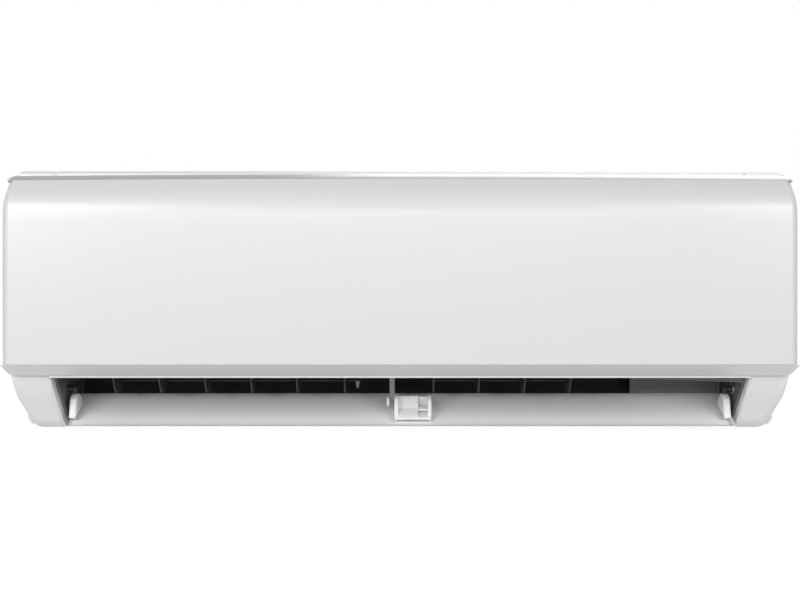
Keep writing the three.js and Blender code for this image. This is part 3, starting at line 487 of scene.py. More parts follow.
# Both trims are one silver finish. The upper trim is given a darker grey as a painted reflection of
# the dark space above the unit, and the lower trim a lighter grey as a painted reflection of the
# pale floor below.
SILVER_PAINTED_DARK_ABOVE = Finish(
    "trim silver painted shade above", (158, 158, 161), 0.36, 0.3, Grain.BRUSHED, grain_size=0.25, relief=0.04
)
SILVER_PAINTED_LIGHT_BELOW = Finish(
    "trim silver painted light below", (206, 206, 208), 0.36, 0.3, Grain.BRUSHED, grain_size=0.25, relief=0.04
)
DUCT_GREY = Finish("duct grey", (134, 132, 133), 0.6, grain_size=0.7, relief=0.15)
END_GREY = Finish("end wall grey", (98, 98, 100), 0.6, grain_size=0.7, relief=0.15)
# The strut is given a mid grey as painted shade, for the shade it stands in within the outlet
# behind the louver's clips.
STRUT_GREY_PAINTED_SHADE = Finish("strut grey painted shade", (160, 159, 158), 0.5, grain_size=0.6, relief=0.12)
DUCT_BLACK = Finish("duct black", (34, 34, 36), 0.55, grain_size=0.7, relief=0.15, clouding=0.04)
VANE_GREY = Finish("vane dark", (44, 44, 47), 0.45, grain_size=0.6, relief=0.12, clouding=0.05)
TAB_GREY = Finish("tab grey", (150, 150, 152), 0.5, grain_size=0.5, relief=0.1)
ZINC = Finish("zinc sheet", (176, 180, 183), 0.4, 0.9, Grain.SPANGLED, 6.0, 0.04, 0.1)
BRIGHT_STEEL = Finish("bright steel", (190, 192, 195), 0.3, 1.0, Grain.BRUSHED, 0.3, 0.06)
FIN_METAL = Finish("fin metal", (172, 196, 206), 0.42, 0.7, Grain.FINNED, 1.6, 0.9, 0.03)
COPPER = Finish("copper", (196, 122, 88), 0.34, 1.0, Grain.DRAWN, 2.0, 0.05, 0.12)
BRASS = Finish("brass", (196, 164, 92), 0.32, 1.0, Grain.DRAWN, 2.0, 0.05, 0.08)
RUBBER = Finish("rubber", (30, 30, 31), 0.8, grain_size=0.8, relief=0.3, clouding=0.08)
FILTER_FRAME = Finish(
    "filter frame", (84, 96, 108), 0.55, grain_size=0.6, relief=0.12, clouding=0.04
)
FILTER_NET = Finish("filter net", (52, 58, 66), 0.6, grain_size=0.3, relief=0.2, clouding=0.05)
BOARD_GREEN = Finish(
    "board green", (44, 104, 66), 0.45, grain_size=1.4, relief=0.1, clouding=0.08, coat=0.3
)
FAN_GREY = Finish("fan dark", (46, 47, 50), 0.5, grain_size=0.7, relief=0.12, clouding=0.05)


def dress(piece: bpy.types.Object, finish: Finish) -> bpy.types.Object:
    """Gives a piece its one finish."""
    piece.data.materials.clear()
    piece.data.materials.append(finish.material())
    return piece


def place_piece(
    piece: bpy.types.Object, finish: Finish, body: str, replaces: Sequence[str] = ()
) -> bpy.types.Object:
    """Dresses a finished piece and tells the frame where it belongs.

    Args:
        piece: The object, in place.
        finish: Its finish.
        body: Moving body that carries it.
        replaces: CAD nodes that it stands for.

    Returns:
        The piece.
    """
    dress(piece, finish)
    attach(piece, body)
    if replaces:
        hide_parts(*replaces)
    log.info("%s rides on %s, %d faces", piece.name, body, len(piece.data.polygons))
    return piece


def side_name(sign: int) -> str:
    """Name of the left side for -1 and of the right side for 1."""
    return "left" if sign < 0 else "right"


def dense(outline: Array, step: float) -> Array:
    """Closed outline with extra points on its sides, so that none are a step apart."""
    loop = np.concatenate([outline, outline[:1]])
    run = np.concatenate([[0], np.cumsum(np.linalg.norm(np.diff(loop, axis=0), axis=1))])
    places = np.union1d(run[:-1].round(4), np.arange(0, run[-1], step).round(4))
    places = places[np.concatenate([[True], np.diff(places) > 0.05])]
    return np.stack([np.interp(places, run, loop[:, 0]), np.interp(places, run, loop[:, 1])], 1)


def carried_back(outline: Array, depths: Array, inset: Optional[Array] = None) -> Array:
    """Grid of a front-view outline of along and height carried back through depths."""
    rows = carried(outline, depths, inset)
    return rows[..., [1, 0, 2]]


def holed_plate(
    outline: Array, centre: Sequence[float], radius: float, start: float, end: float
) -> Array:
    """Grid of a flat plate with one round hole.

    Four loops of points follow each other: the outline and the hole at one face, then the
    hole and the outline at the other. A hole point lies in the direction of its outline
    point, seen from the hole's middle.

    Args:
        outline: Side-view outline, all of it in sight of the hole's middle.
        centre: Depth and height of the hole.
        radius: Radius of the hole.
        start: Along of one face.
        end: Along of the other.

    Returns:
        Grid of four loops, the last of which joins the first.
    """
    reach = outline - np.asarray(centre)
    hole = np.asarray(centre) + radius * reach / np.linalg.norm(reach, axis=1)[:, None]
    loops = np.stack([outline, hole, hole, outline])
    x = np.array([start, start, end, end])[:, None] + np.zeros(len(outline))
    return np.stack([x, loops[..., 0], loops[..., 1]], -1)


# ---- front panel
@dataclass
class FrontPanel:
    """The swing-up front panel: a shallow tray, and a silver trim above and below it."""

    low: float = -79.6
    side: float = 14.0
    corner: float = 11.0
    skin: float = 2.6
    crown: float = 2.4
    columns: int = 24  # of the face, so that it can bow
    body: str = "panel"

    def crowned(self, rows: Array) -> Array:
        """Rows whose top edge bows up: by the crown in the middle, and less below height 145."""
        share = np.clip((rows[..., 2] - 105) / 40, 0, 1)
        rows[..., 2] += self.crown * share * (1 - (rows[..., 0] / HALF) ** 2)
        return rows

    def shell(self) -> bpy.types.Object:
        """Builds the tray.

        Across, each row goes up one side, round a quarter circle, along the face and back
        down the other side. Up, the rows follow the face's curve and the rear edge's curve
        together, and one row at each end closes the tray to its rear edge.

        Returns:
            The piece.
        """
        bend = curve_through([[0, 96], [1.2, 112], [8, 127], [24, 145]], 24)
        front = joined([[0, self.low], [0, self.low + 40], [0, 40]], bend)
        bend = curve_through([[self.side, 92], [15.6, 107], [21.5, 119], [32, 131]], 24)
        rear = joined([[self.side, self.low], [self.side, self.low + 40], [self.side, 40]], bend)
        angle = np.linspace(0, math.pi / 2, 11)
        width = np.linalg.norm(rear - front, axis=1)[:, None]
        share = self.corner * (1 - np.sin(angle))[None, :] / width
        share = np.concatenate([np.ones((len(front), 1)), share], 1)
        along = HALF - self.corner * (1 - np.cos(np.concatenate([[0], angle])))
        share = np.concatenate([share, share[:, ::-1]], 1)[..., None]
        rows = front[:, None] + (rear - front)[:, None] * share
        middle = np.linspace(-along[-1], along[-1], self.columns + 2)[1:-1]
        edge = len(along)
        spread = np.repeat(rows[:, edge - 1 : edge], self.columns, 1)
        rows = np.concatenate([rows[:, :edge], spread, rows[:, edge:]], 1)
        x = np.broadcast_to(np.concatenate([-along, middle, along[::-1]]), rows.shape[:2])
        grid = np.stack([x, rows[..., 0], rows[..., 1]], -1)
        rims = [np.broadcast_to(rear[i], (1, x.shape[1], 2)) for i in (0, -1)]
        ends = [np.concatenate([x[:1, :, None], rim], -1) for rim in rims]
        grid = self.crowned(np.concatenate([ends[0], grid, ends[1]]))
        piece = Surface().grid(grid, ring=False).mesh("panel_shell")
        thicken(piece, self.skin)
        ease_edges(piece, 0.9)
        return piece

    def top_trim(self) -> bpy.types.Object:
        """The silver strip over the panel: its section carried from side to side."""
        section = [[24.4, 145.5], [27.2, 142.5], [51.2, 151.2], [49, 153.6], [37, 150.6]]
        along, inset = rounded_run(-HALF, HALF, 0.8)
        middle = np.linspace(along[4], along[5], 34)[1:-1]
        along = np.concatenate([along[:5], middle, along[5:]])
        inset = np.concatenate([inset[:5], 0 * middle, inset[5:]])
        rows = self.crowned(carried(softened(section, 1.2), along, inset))
        return Surface().grid(rows).mesh("panel_trim_top")

    def bottom_trim(self) -> bpy.types.Object:
        """The silver strip under the panel.

        Its section is carried from side to side, and a point at height z ends nearer the
        middle the lower it lies, first by a slight taper and then by a quarter circle.

        Returns:
            The piece.
        """
        section = [[0, -80], [27.4, -94.8], [28.6, -92.2], [15.4, -85.4], [3, -80]]
        outline = dense(softened(section, 1.0), 1.2)
        height, knee, radius = outline[:, 1], -86.5, 9.6
        taper = HALF - 1.4 * np.clip((-80 - height) / 6.5, 0, 1)
        bend = HALF - 11 + np.sqrt(np.clip(radius**2 - (height - knee) ** 2, 0, None))
        end = np.where(height > knee, taper, bend)
        rows = carried(outline, np.array([-1.0, 1.0]))
        rows[..., 0] *= end
        piece = Surface().grid(rows).mesh("panel_trim_bottom")
        ease_edges(piece, 0.7)
        return piece

    def arm(self, sign: int) -> bpy.types.Object:
        """One hinge arm: a curved web with an eye at the hinge line and its pin."""
        foot = [[5.2, 60], [12, 60], [20, 100], [36, 128]]
        eye = arc(PANEL_HINGE, 3.6, -60, 120, 12)
        back = [[42, 140.5], [24.5, 126], [11, 110], [5.2, 96]]
        web = softened(joined(foot, eye, back), 3.0)
        made = Surface().run(web, sign * 423, sign * 429, 0.7)
        pin = np.array([[0, 428], [2.4, 428], [2.4, 432], [2, 432.4], [0, 432.4]])
        made.lathe(pin * [1, sign], PANEL_HINGE)
        return made.mesh(f"panel_hinge_arm_{side_name(sign)}")

    def build(self) -> None:
        """Builds and places the panel's pieces."""
        place_piece(self.shell(), PANEL_WHITE, self.body, ["front_panel"])
        # The trims' two greys are painted shade on the upper trim and painted light on the lower
        # trim.
        place_piece(self.top_trim(), SILVER_PAINTED_DARK_ABOVE, self.body, ["top_trim"])
        place_piece(self.bottom_trim(), SILVER_PAINTED_LIGHT_BELOW, self.body, ["bottom_trim"])
        for sign, node in ((-1, "panel_arm_left"), (1, "panel_arm_right")):
            place_piece(self.arm(sign), CASING_WHITE, self.body, [node])


# ---- casing
BELLY = curve_through(
    [[35, -96.5], [49.5, -116], [75, -142.5], [90, -158], [104, BOTTOM - 1.6]], 32
)


@dataclass
class Casing:
    """The white casing that shows: two cheeks, the strip over the panel and the outlet's lip."""

    wall: float = 3.0
    inner_edge: float = 4.4
    outer_edge: float = 5.0
    foot_edge: float = 15.0  # how much wider the outer rounding is at the foot
    door: float = -86.0  # below this height an inner wall closes the cheek
    drive_hole: float = 11.0
    body: str = "casing"

    def cheek_outline(self) -> Array:
        """Side view of a cheek, from the rear's foot forwards, up and back to the rear's top."""
        front = curve_through([[34.6, 131], [24.4, 119.6], [18.2, 107], [15.6, 90]], 20)
        path = joined(
            [[207, -138], [207, BOTTOM]],
            BELLY[::-1],
            [[31.5, -92.5], [15, -82]],
            front[::-1],
            [[40, 137], [59.5, 146], [59.5, 157.4], [70, 162], [91, TOP]],
            arc([200, 157], 7, 90, 0, 8),
            [[207, 140]],
        )
        return softened(path, 1.6)

    def cheek(self, sign: int) -> bpy.types.Object:
        """One cheek.

        Rows follow its side view, and columns cross it: they round in at the inner edge and,
        with a wider radius, at the outer edge, which the side wall closes. The outer radius
        grows towards the foot.

        Args:
            sign: -1 for the left cheek, 1 for the right.

        Returns:
            The piece.
        """
        outline = self.cheek_outline()
        depth, height = outline.T
        foot = np.clip((-126 - height) / 30, 0, 1) * np.clip((200 - depth) / 40, 0, 1)
        outer = self.outer_edge + self.foot_edge * foot
        inner = self.inner_edge + 0 * outer
        angle = np.linspace(0, math.pi / 2, 7)[:, None]
        back, shrink = 1 - np.cos(angle), 1 - np.sin(angle)
        x = np.concatenate([BAY + inner * back, (HALF - outer * back)[::-1]])
        inset = np.concatenate([inner * shrink, (outer * shrink)[::-1]])
        side_view = outline + inset[..., None] * inward(outline)
        rows = np.concatenate([sign * x[..., None], side_view], -1)
        made = Surface().grid(rows.transpose(1, 0, 2), ring=False)
        last = np.arange(len(outline)) * len(x) + len(x) - 1
        made.faces.append(last.tolist())
        piece = made.mesh(f"cheek_{side_name(sign)}")
        thicken(piece, self.wall)
        ease_edges(piece, 0.5)
        return piece

    def cheek_wall(self, sign: int) -> bpy.types.Object:
        """The cheek's inner wall beside the outlet, a plate with the louver drive's hole."""
        outline = self.cheek_outline()
        low = outline[outline[:, 1] < self.door]
        plate = joined(low, [[22, self.door], [206, self.door]])
        plate = dense(plate + 2.2 * inward(plate), 6.0)
        near, far = sign * (BAY + 0.05), sign * (BAY + self.wall)
        rows = holed_plate(plate, LOUVER_PIVOT, self.drive_hole, near, far)
        made = Surface().grid(rows, loop=True, caps=False)
        piece = made.mesh(f"cheek_wall_{side_name(sign)}")
        ease_edges(piece, 0.4)
        return piece

    def frame_top(self) -> bpy.types.Object:
        """The folded strip between the trim and the inlet grille."""
        outer = [[59.5, 153], [59.5, 157.4], [70, 162], [91, TOP]]
        inner = [[91, TOP - 2.6], [70.6, 159.4], [62.2, 155.6], [62.2, 153]]
        outline = softened(joined(outer, inner), 0.9)
        return Surface().run(outline, GAP - BAY, BAY - GAP, 0.5).mesh("casing_front_top")

    def lip(self) -> bpy.types.Object:
        """The lip over the outlet, with the guide rib between the two filters."""
        outline = [
            [17, -68], [17, -83], [30.4, -92], [31.6, -97.7], [41, -97.7], [41, -95], [36, -94],
            [34.2, -90.6], [20, -81.4], [20, -68],
        ]
        made = Surface().run(softened(outline, 0.9), GAP - BAY, BAY - GAP, 0.4)
        rib = softened([[17, -70], [26, -70], [26, 96], [17, 96]], 1.5)
        made.run(rib, FILTER_SPLIT - 2, FILTER_SPLIT + 2, 0.6)
        return made.mesh("outlet_upper_lip")

    def build(self) -> None:
        """Builds and places the casing's pieces."""
        for sign, node in ((-1, "left_cheek"), (1, "right_cheek")):
            place_piece(self.cheek(sign), CASING_WHITE, self.body, [node])
            place_piece(self.cheek_wall(sign), CASING_WHITE, self.body)
        place_piece(self.frame_top(), CASING_WHITE, self.body, ["frame_top"])
        # The lip takes the lighter louver white as painted light on its lower edge.
        place_piece(self.lip(), LOUVER_WHITE_PAINTED_LIGHT, self.body, ["outlet_lip"])


# ---- end walls
@dataclass
class EndWalls:
    """The rear casing's end walls, set back from the cheeks' white inner walls."""

    thickness: float = 3.0
    bearing_hole: float = 24.0
    drive_hole: float = 8.4
    body: str = "casing"

    def outline(self) -> Array:
        """Side view of an end wall, from the lip down and round to the panel's pin seat."""
        return softened(
            [
                [50, -92], [59, -110], [84, -135], [100, -150], [112, -160],
                [121, BOTTOM + 1], [201, BOTTOM + 1], [201, TOP - 3.4], [92, TOP - 3.4],
                [70, 158.6], [62.6, 152.6], [59.4, 148],
                [58, 143], [50, 139], [40, 132], [24, 112], [21, 90], [21, -66], [58, -66],
            ],
            1.6,
        )

    def build(self) -> None:
        """Builds and places both walls, each a plate with one round hole."""
        far = BAY - GAP
        near = far - self.thickness
        outline = dense(self.outline(), 5.0)
        plan = ((-1, FAN_AXIS, self.bearing_hole), (1, LOUVER_PIVOT, self.drive_hole))
        for sign, centre, radius in plan:
            rows = holed_plate(outline, centre, radius, sign * far, sign * near)
            made = Surface().grid(rows, loop=True, caps=False)
            piece = made.mesh(f"rear_end_wall_{side_name(sign)}")
            ease_edges(piece, 0.5)
            place_piece(piece, END_GREY, self.body, [f"end_wall_{side_name(sign)}"])


# ---- louver
@dataclass
class Louver:
    """The long louver under the outlet, drawn closed about its pivot and turned open."""

    half: float = 427.0
    skin: float = 2.6
    proud: float = 2.2  # how far the blade lies outside the curve of its CAD node
    tip_corner: float = 7.0
    body: str = "louver"

    def open_place(self, places: Array) -> Array:
        """Places of the closed louver, relative to the pivot, at its open rest place."""
        return turned(places, LOUVER_OPEN)

    def blade(self) -> bpy.types.Object:
        """Builds the blade.

        Its section is the belly's curve with an even skin, thicker at the front tip. Each
        section point ends nearer the middle the closer it lies to either long edge: the
        length falls by a quarter circle over the corner's radius.

        Returns:
            The piece.
        """
        middle = [[-57.5, 11.5], [-47, -4.5], [-25, -21], [-4, -35], [10.8, -43.2]]
        outside = left_of(curve_through(middle, 48), -self.proud)
        inside = left_of(outside, self.skin)
        share = np.linspace(0, 1, len(outside))
        swell = 0.8 * np.exp(-((share / 0.09) ** 2))[:, None]
        inside = inside + swell * (left_of(outside, 1) - outside)
        section = dense(softened(np.concatenate([outside, inside[::-1]]), 1.2), 1.6)
        from_tip = np.linalg.norm(section - outside[0], axis=1)
        from_back = np.linalg.norm(section - outside[-1], axis=1)
        near = np.clip(self.tip_corner - np.minimum(from_tip, from_back), 0, self.tip_corner)
        cut = self.tip_corner - np.sqrt(self.tip_corner**2 - near**2)
        along, inset = rounded_run(-self.half, self.half, 0.9, 4)
        rows = carried(self.open_place(section), along, inset)
        rows[..., 0] -= np.sign(along)[:, None] * cut
        return Surface().grid(rows).mesh("louver_blade_shell")

    def lug(self, low: float = 0.0) -> Array:
        """Side view of a clip's white lug at its open place, its round top lowered by low."""
        top = [[86.5, -129 - low], [92, -123.4 - low], [100, -121.6 - low], [107, -124.6 - low]]
        return softened(joined([[82, -154.6]], top, [[120, -137.6]]), 4.0, 6)

    def neck(self) -> Array:
        """Side view of the dark neck that joins a lug to its pin."""
        eye = arc(LOUVER_PIVOT, 5.4, 200, -20, 16)
        return softened(joined([[94.6, -126]], eye, [[104.4, -126]]), 1.0)

    def end_clip(self, sign: int) -> bpy.types.Object:
        """The white clip at one end of the blade: a lug with a round top."""
        inner, outer = self.half - 12, self.half - 2.6
        made = Surface().run(self.lug(), sign * inner, sign * outer, 2.2)
        return made.mesh(f"louver_arm_{side_name(sign)}")

    def end_pin(self, sign: int) -> bpy.types.Object:
        """The dark neck and pin at one end of the blade."""
        near, outer, tip = self.half - 10, self.half - 5, 432.8
        made = Surface().run(self.neck(), sign * near, sign * outer, 0.6)
        pin = [[0, outer - 1], [4, outer - 1], [4, tip - 0.6], [3.4, tip], [0, tip]]
        made.lathe(np.array(pin) * [1, sign], LOUVER_PIVOT)
        return made.mesh(f"louver_pin_{side_name(sign)}")

    def centre_clip(self) -> bpy.types.Object:
        """The clip at the strut: an upright, a block, a bracket of two ribs, and a post."""
        start, end, last = STRUT + 2.6, STRUT + 33.4, STRUT + 46
        made = Surface().run(self.lug(0.6), start, start + 5.6, 1.6)
        block = [[80.6, -155], [84, -149.4], [94, -141.6], [99, -125.6], [112, -124], [122, -136]]
        wall = [
            [80.6, -155], [83, -148.6], [92.6, -141], [97.6, -124.6], [113, -122.8], [122, -136]
        ]
        rung = [[91, -144.6], [91, -142], [119, -131], [120, -134.6]]
        web = [[103, -141], [102, -127], [104.6, -126], [108, -139]]
        shelf = [[80.6, -154.8], [82, -151.6], [122, -133.6], [122, -136.6]]
        post = [[84, -153], [88, -130], [94, -124.4], [104, -123.6], [120, -136.6]]
        for outline, reach, near, far, edge in (
            (block, 1.6, start + 4, end, 0.8),
            (wall, 1.4, end - 1.6, end, 0.4),
            (rung, 0.9, end - 0.6, last, 0.5),
            (web, 0.9, end - 0.6, last, 0.5),
            (shelf, 0.9, start + 1, last + 4, 0.5),
            (post, 2.2, last - 0.6, last + 4.6, 1.2),
        ):
            made.run(softened(outline, reach), near, far, edge)
        return made.mesh("louver_arm_centre")

    def build(self) -> None:
        """Builds and places the louver's pieces."""
        # The blade's lighter white is painted light for the shade under the casing.
        place_piece(self.blade(), LOUVER_WHITE_PAINTED_LIGHT, self.body, ["louver_blade"])
        for sign, node in ((-1, "louver_clip_left"), (1, "louver_clip_right")):
            place_piece(self.end_clip(sign), CLIP_WHITE, self.body, [node])
            place_piece(self.end_pin(sign), DUCT_BLACK, self.body)
        place_piece(self.centre_clip(), CLIP_WHITE, self.body, ["louver_clip_centre"])


# ---- vanes
@dataclass
class Vanes:
    """The dark upright vanes in the outlet, the bars that link them and their strips."""

    left: tuple[float, ...] = (-366, -307.5, -249, -190.5, -132, -71)
    right: tuple[float, ...] = (43, 101, 159.5, 218)
    thickness: float = 2.0
    top: tuple[float, float] = (88.0, -79.5)
    foot: tuple[float, float] = (160.0, -112.0)
    link_offset: float = 15.0
    tab: float = -55.0

    def place(self, along: float, across: float) -> Array:
        """Side-view place at a distance along and across a vane's turning line."""
        top, foot = np.array(self.top), np.array(self.foot)
        way = (foot - top) / np.linalg.norm(foot - top)
        return top + along * way + across * np.array([way[1], -way[0]])

    def pin(
        self, made: Surface, x: float, across: float, radius: float, start: float, end: float
    ) -> None:
        """Adds a round pin along the turning line to a surface."""
        ends = np.stack([self.place(s, across) for s in (start, start + 0.4, end - 0.4, end)])
        route = np.concatenate([np.full((4, 1), x), ends], 1)
        made.tube(route, radius * np.array([0.7, 1, 1, 0.7]), 16)

    def vane(self, x: float, name: str) -> bpy.types.Object:
        """One vane: a blade in front of the fan, its pin and its link horn."""
        outline = [
            [72, -87.5], [75.4, -99.5], [84, -115], [92, -121], [110, -121.4], [120, -119],
            [129, -113], [135, -106.4], [146, -104.6], [160, -108], [170, -104.6], [174, -100],
            [168, -90], [146, -91], [131, -92.8], [112, -90], [93, -78.6], [80, -80.5],
        ]
        half = self.thickness / 2
        made = Surface().run(softened(outline, 2.4, 5), x - half, x + half, 0.85)
        reach = self.link_offset + 1.4
        horn = np.stack([self.place(*p) for p in ((19, 6), (25, 6), (25, reach), (20, reach))])
        made.run(softened(horn, 1.0), x - half, x + half, 0.5)
        self.pin(made, x, 0, 1.7, -4.4, 7)
        self.pin(made, x, self.link_offset - 1, 1.5, 20, 29)
        return made.mesh(name)

    def bar(self, box: Sequence[float], start: float, end: float, name: str) -> bpy.types.Object:
        """A flat bar across a group, its section from near to far and from low to high."""
        near, far, low, high = box
        corners = ((near, low), (near, high), (far, high), (far, low))
        section = np.stack([self.place(*corner) for corner in corners])
        return Surface().run(softened(section, 0.6), start, end, 0.6).mesh(name)

    def finger_tab(self) -> bpy.types.Object:
        """The small tab that hangs from the left link for a finger, narrower at its foot."""
        depth, height = self.place(27, self.link_offset + 1)
        front = [[-3.6, 0], [3.6, 0], [1, -11], [-1, -11]]
        outline = softened(np.array(front) + [self.tab, height], 0.9)
        depths, inset = rounded_run(depth - 1.2, depth + 1, 0.5)
        return Surface().grid(carried_back(outline, depths, inset)).mesh("vane_finger_tab")

    def build(self) -> None:
        """Builds and places both groups."""
        ends = {"left": max(self.left[-1] + 5, self.tab + 4), "right": self.right[-1] + 5}
        link_box = (25.6, 27.8, self.link_offset - 5, self.link_offset + 3)
        strip_box = (-3.4, -0.4, -6, 5)
        for side, places in (("left", self.left), ("right", self.right)):
            for number, x in enumerate(places, 1):
                node = f"vane_{side}_{number}"
                place_piece(self.vane(x, f"{node}_blade"), VANE_GREY, node, [node])
            link, strip = f"vane_link_{side}", f"vane_strip_{side}"
            bar = self.bar(link_box, places[0] - 5, ends[side], f"{link}_bar")
            place_piece(bar, DUCT_BLACK, link, [link])
            bar = self.bar(strip_box, places[0] - 14, places[-1] + 14, f"{strip}_bar")
            place_piece(bar, DUCT_BLACK, "casing", [strip])
        place_piece(self.finger_tab(), TAB_GREY, "vane_link_left")


# ---- strut
@dataclass
class Strut:
    """The centre strut that hangs from the lip and carries the louver's middle pin."""

    half: float = 3.0
    flange: float = 1.1
    stud: tuple[float, float] = (98.0, -132.4)
    body: str = "casing"

    def channel(self) -> bpy.types.Object:
        """The strut itself: two flanges on a web set back between them, and a seat."""
        outline = joined(
            [[42.6, -93.8], [62, -82.9], [75.4, -75.6], [82, -80], [86, -95], [91, -104]],
            arc(LOUVER_PIVOT, 14, 130, -30, 16),
            arc(LOUVER_PIVOT, 16, -60, -140, 10),
            [[80, -118], [62, -106], [41.6, -96.6]],
        )
        outline = softened(outline, 1.6)
        made = Surface()
        for edge in (STRUT - self.half, STRUT + self.half - self.flange):
            made.run(outline, edge, edge + self.flange, 0.5)
        inner = self.half - self.flange + 0.1
        made.run(outline + 2.0 * inward(outline), STRUT - inner, STRUT + inner)
        seat = softened([[62, -82.9], [75.4, -75.6], [77.2, -79], [63.8, -86.3]], 0.8)
        made.run(seat, STRUT - 7, STRUT + 7, 0.7)
        return made.mesh("outlet_strut")

    def stud_head(self) -> bpy.types.Object:
        """The round head of the stud on the strut's left side."""
        side = STRUT - self.half
        head = [[0, -4.4], [5, -4.4], [6.6, -3], [6.6, -1.2], [4, -0.4], [0, -0.4]]
        return Surface().lathe(np.array(head) + [0, side], self.stud).mesh("outlet_strut_stud")

    def build(self) -> None:
        """Builds and places the strut and its stud."""
        # The strut's grey is painted shade.
        place_piece(self.channel(), STRUT_GREY_PAINTED_SHADE, self.body, ["centre_strut"])
        place_piece(self.stud_head(), CASING_WHITE, self.body)


# ---- filter nets
@dataclass
class FilterNets:
    """The nets of both dust filters: crossed threads that follow their bowed frames."""

    pitch: float = 4.0
    thread: float = 0.3
    sides: int = 5
    margin: float = 5.0
    spans: tuple[tuple[str, float, float], ...] = (("left", -420, -53), ("right", -47, 296))
    body: str = "casing"

    def path(self) -> Array:
        """Side view of the net, midway through the frame's thickness."""
        bends = [[24, -66], [24, 20], [25, 92], [33, 116], [58, 139.5], [84, 152]]
        return left_of(curve_through(bends, 60), -1.1)[2:-2]

    def net(self, side: str, start: float, end: float) -> bpy.types.Object:
        """Builds one net: threads along the unit, and threads up it at the same pitch."""
        path = self.path()
        run = np.concatenate([[0], np.cumsum(np.linalg.norm(np.diff(path, axis=0), axis=1))])
        steps = np.arange(0, run[-1], self.pitch)
        places = np.stack([np.interp(steps, run, path[:, 0]), np.interp(steps, run, path[:, 1])], 1)
        near, far = start + self.margin, end - self.margin
        made = Surface()
        for place in places:
            made.tube(np.array([[near, *place], [far, *place]]), self.thread, self.sides)
        for x in np.arange(near, far, self.pitch):
            made.tube(np.insert(path, 0, x, axis=1), self.thread, self.sides)
        return made.mesh(f"filter_net_{side}")

    def build(self) -> None:
        """Builds and places both nets."""
        for side, start, end in self.spans:
            place_piece(self.net(side, start, end), FILTER_NET, self.body)


# ---- refrigerant lines
@dataclass
class Line:
    """One copper line: down beside the motor, then along the foot to its flare nut."""

    name: str
    drop: float  # along of its upright run
    rise: float  # height where it leaves the fin pack
    depth: float
    height: float  # height of its lower run
    radius: float
    end: float
    body: str = "casing"

    def route(self) -> Array:
        """Middle line, smooth through its bends and straight at the end."""
        x, z, d, h = self.drop, self.rise, self.depth, self.height
        bends = [
            [314, 148, z], [350, 150, z - 2], [x - 16, 154, z - 10], [x, 165, z - 22],
            [x, 180, z - 36], [x, d, 10], [x, d, -30], [x, d, h + 46], [x - 5, d, h + 20],
            [x - 20, d, h + 5], [x - 42, d, h], [340, d, h],
        ]
        return np.concatenate([curve_through(bends, 132), [[self.end, d, h]]])

    def build(self) -> None:
        """Builds and places the line and its hexagon nut with a collar."""
        pipe = Surface().tube(self.route(), self.radius).mesh(f"{self.name}_line")
        place_piece(pipe, COPPER, self.body, [f"{self.name}_pipe"])
        centre = (self.depth, self.height)
        hexagon = arc(centre, self.radius + 4.6, 0, 300, 5)
        made = Surface().run(hexagon, self.end - 4, self.end + 16, 1.0)
        wide = self.radius + 1.6
        collar = [[0, -13], [wide - 1, -13], [wide, -12], [wide, -3], [0, -3]]
        made.lathe(np.array(collar) + [0, self.end], centre)
        place_piece(made.mesh(f"{self.name}_line_nut"), BRASS, self.body)


LINES = (
    Line("gas", 416, 78, 195, -140, 8.0, -190),
    Line("liquid", 399, 58, 197, -112, 4.8, -130),
)


# ---- nodes that keep their CAD shape
@dataclass
class KeptNodes:
    """CAD nodes whose shape stays: each gets its finish and eased edges."""

    plan: dict[Finish, dict[str, float]]

    def build(self) -> None:
        """Dresses each node. Its width is that of its eased edges, or 0 to leave them sharp."""
        for finish, nodes in self.plan.items():
            for name, width in nodes.items():
                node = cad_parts[name]
                dress(node, finish)
                if width:
                    weld = node.modifiers.new("weld", "WELD")
                    weld.merge_threshold = 1e-5
                    flat = node.modifiers.new("flat", "DECIMATE")
                    flat.decimate_type, flat.angle_limit = "DISSOLVE", math.radians(0.6)
                    ease_edges(node, width, 2, 38)
                log.info("%s keeps its CAD shape", name)


KEPT = KeptNodes(
    {
        CASING_WHITE: {"inlet_grille": 0.5, "motor_cover": 0.4, "control_box_lid": 0.6},
        DUCT_BLACK: {"rear_chassis": 0.4, "drip_tray": 0.4},
        DUCT_GREY: {"duct_end_right": 0.8},
        ZINC: {"mounting_plate": 0.25, "control_box": 0.3},
        BRIGHT_STEEL: {
            "fan_shaft": 0.4, "fan_bearing": 0.4, "fan_motor": 0.6, "louver_motor": 0.5
        },
        FIN_METAL: {"fin_pack_front_low": 0.0, "fin_pack_front_high": 0.0, "fin_pack_rear": 0.0},
        COPPER: {"tube_sheet_left": 0.0, "tube_sheet_right": 0.0, "room_sensor": 0.2},
        RUBBER: {"bearing_holder": 0.4, "motor_ring": 0.4},
        FILTER_FRAME: {"filter_left": 0.4, "filter_right": 0.4},
        BOARD_GREEN: {"circuit_board": 0.2, "receiver_board": 0.2},
        VANE_GREY: {"terminal_block": 0.3},
        FAN_GREY: {"fan_wheel": 0.0},
        CLIP_WHITE: {"run_button": 0.3},
    }
)


# ---- studio
@dataclass
class SoftBox:
    """A soft lamp aimed at a point of the unit, with its width and its height."""

    name: str
    place: tuple[float, float, float]
    aim: tuple[float, float, float]
    size: tuple[float, float]
    power: float

    def build(self) -> None:
        """Adds the lamp, turned towards its aim."""
        data = bpy.data.lights.new(self.name, "AREA")
        data.shape, data.energy = "RECTANGLE", self.power
        data.size, data.size_y = self.size
        lamp = bpy.data.objects.new(self.name, data)
        way = np.asarray(self.aim) - np.asarray(self.place)
        lamp.rotation_euler = Vector(way).to_track_quat("-Z", "Y").to_euler()
        lamp.location = self.place
        bpy.context.scene.collection.objects.link(lamp)


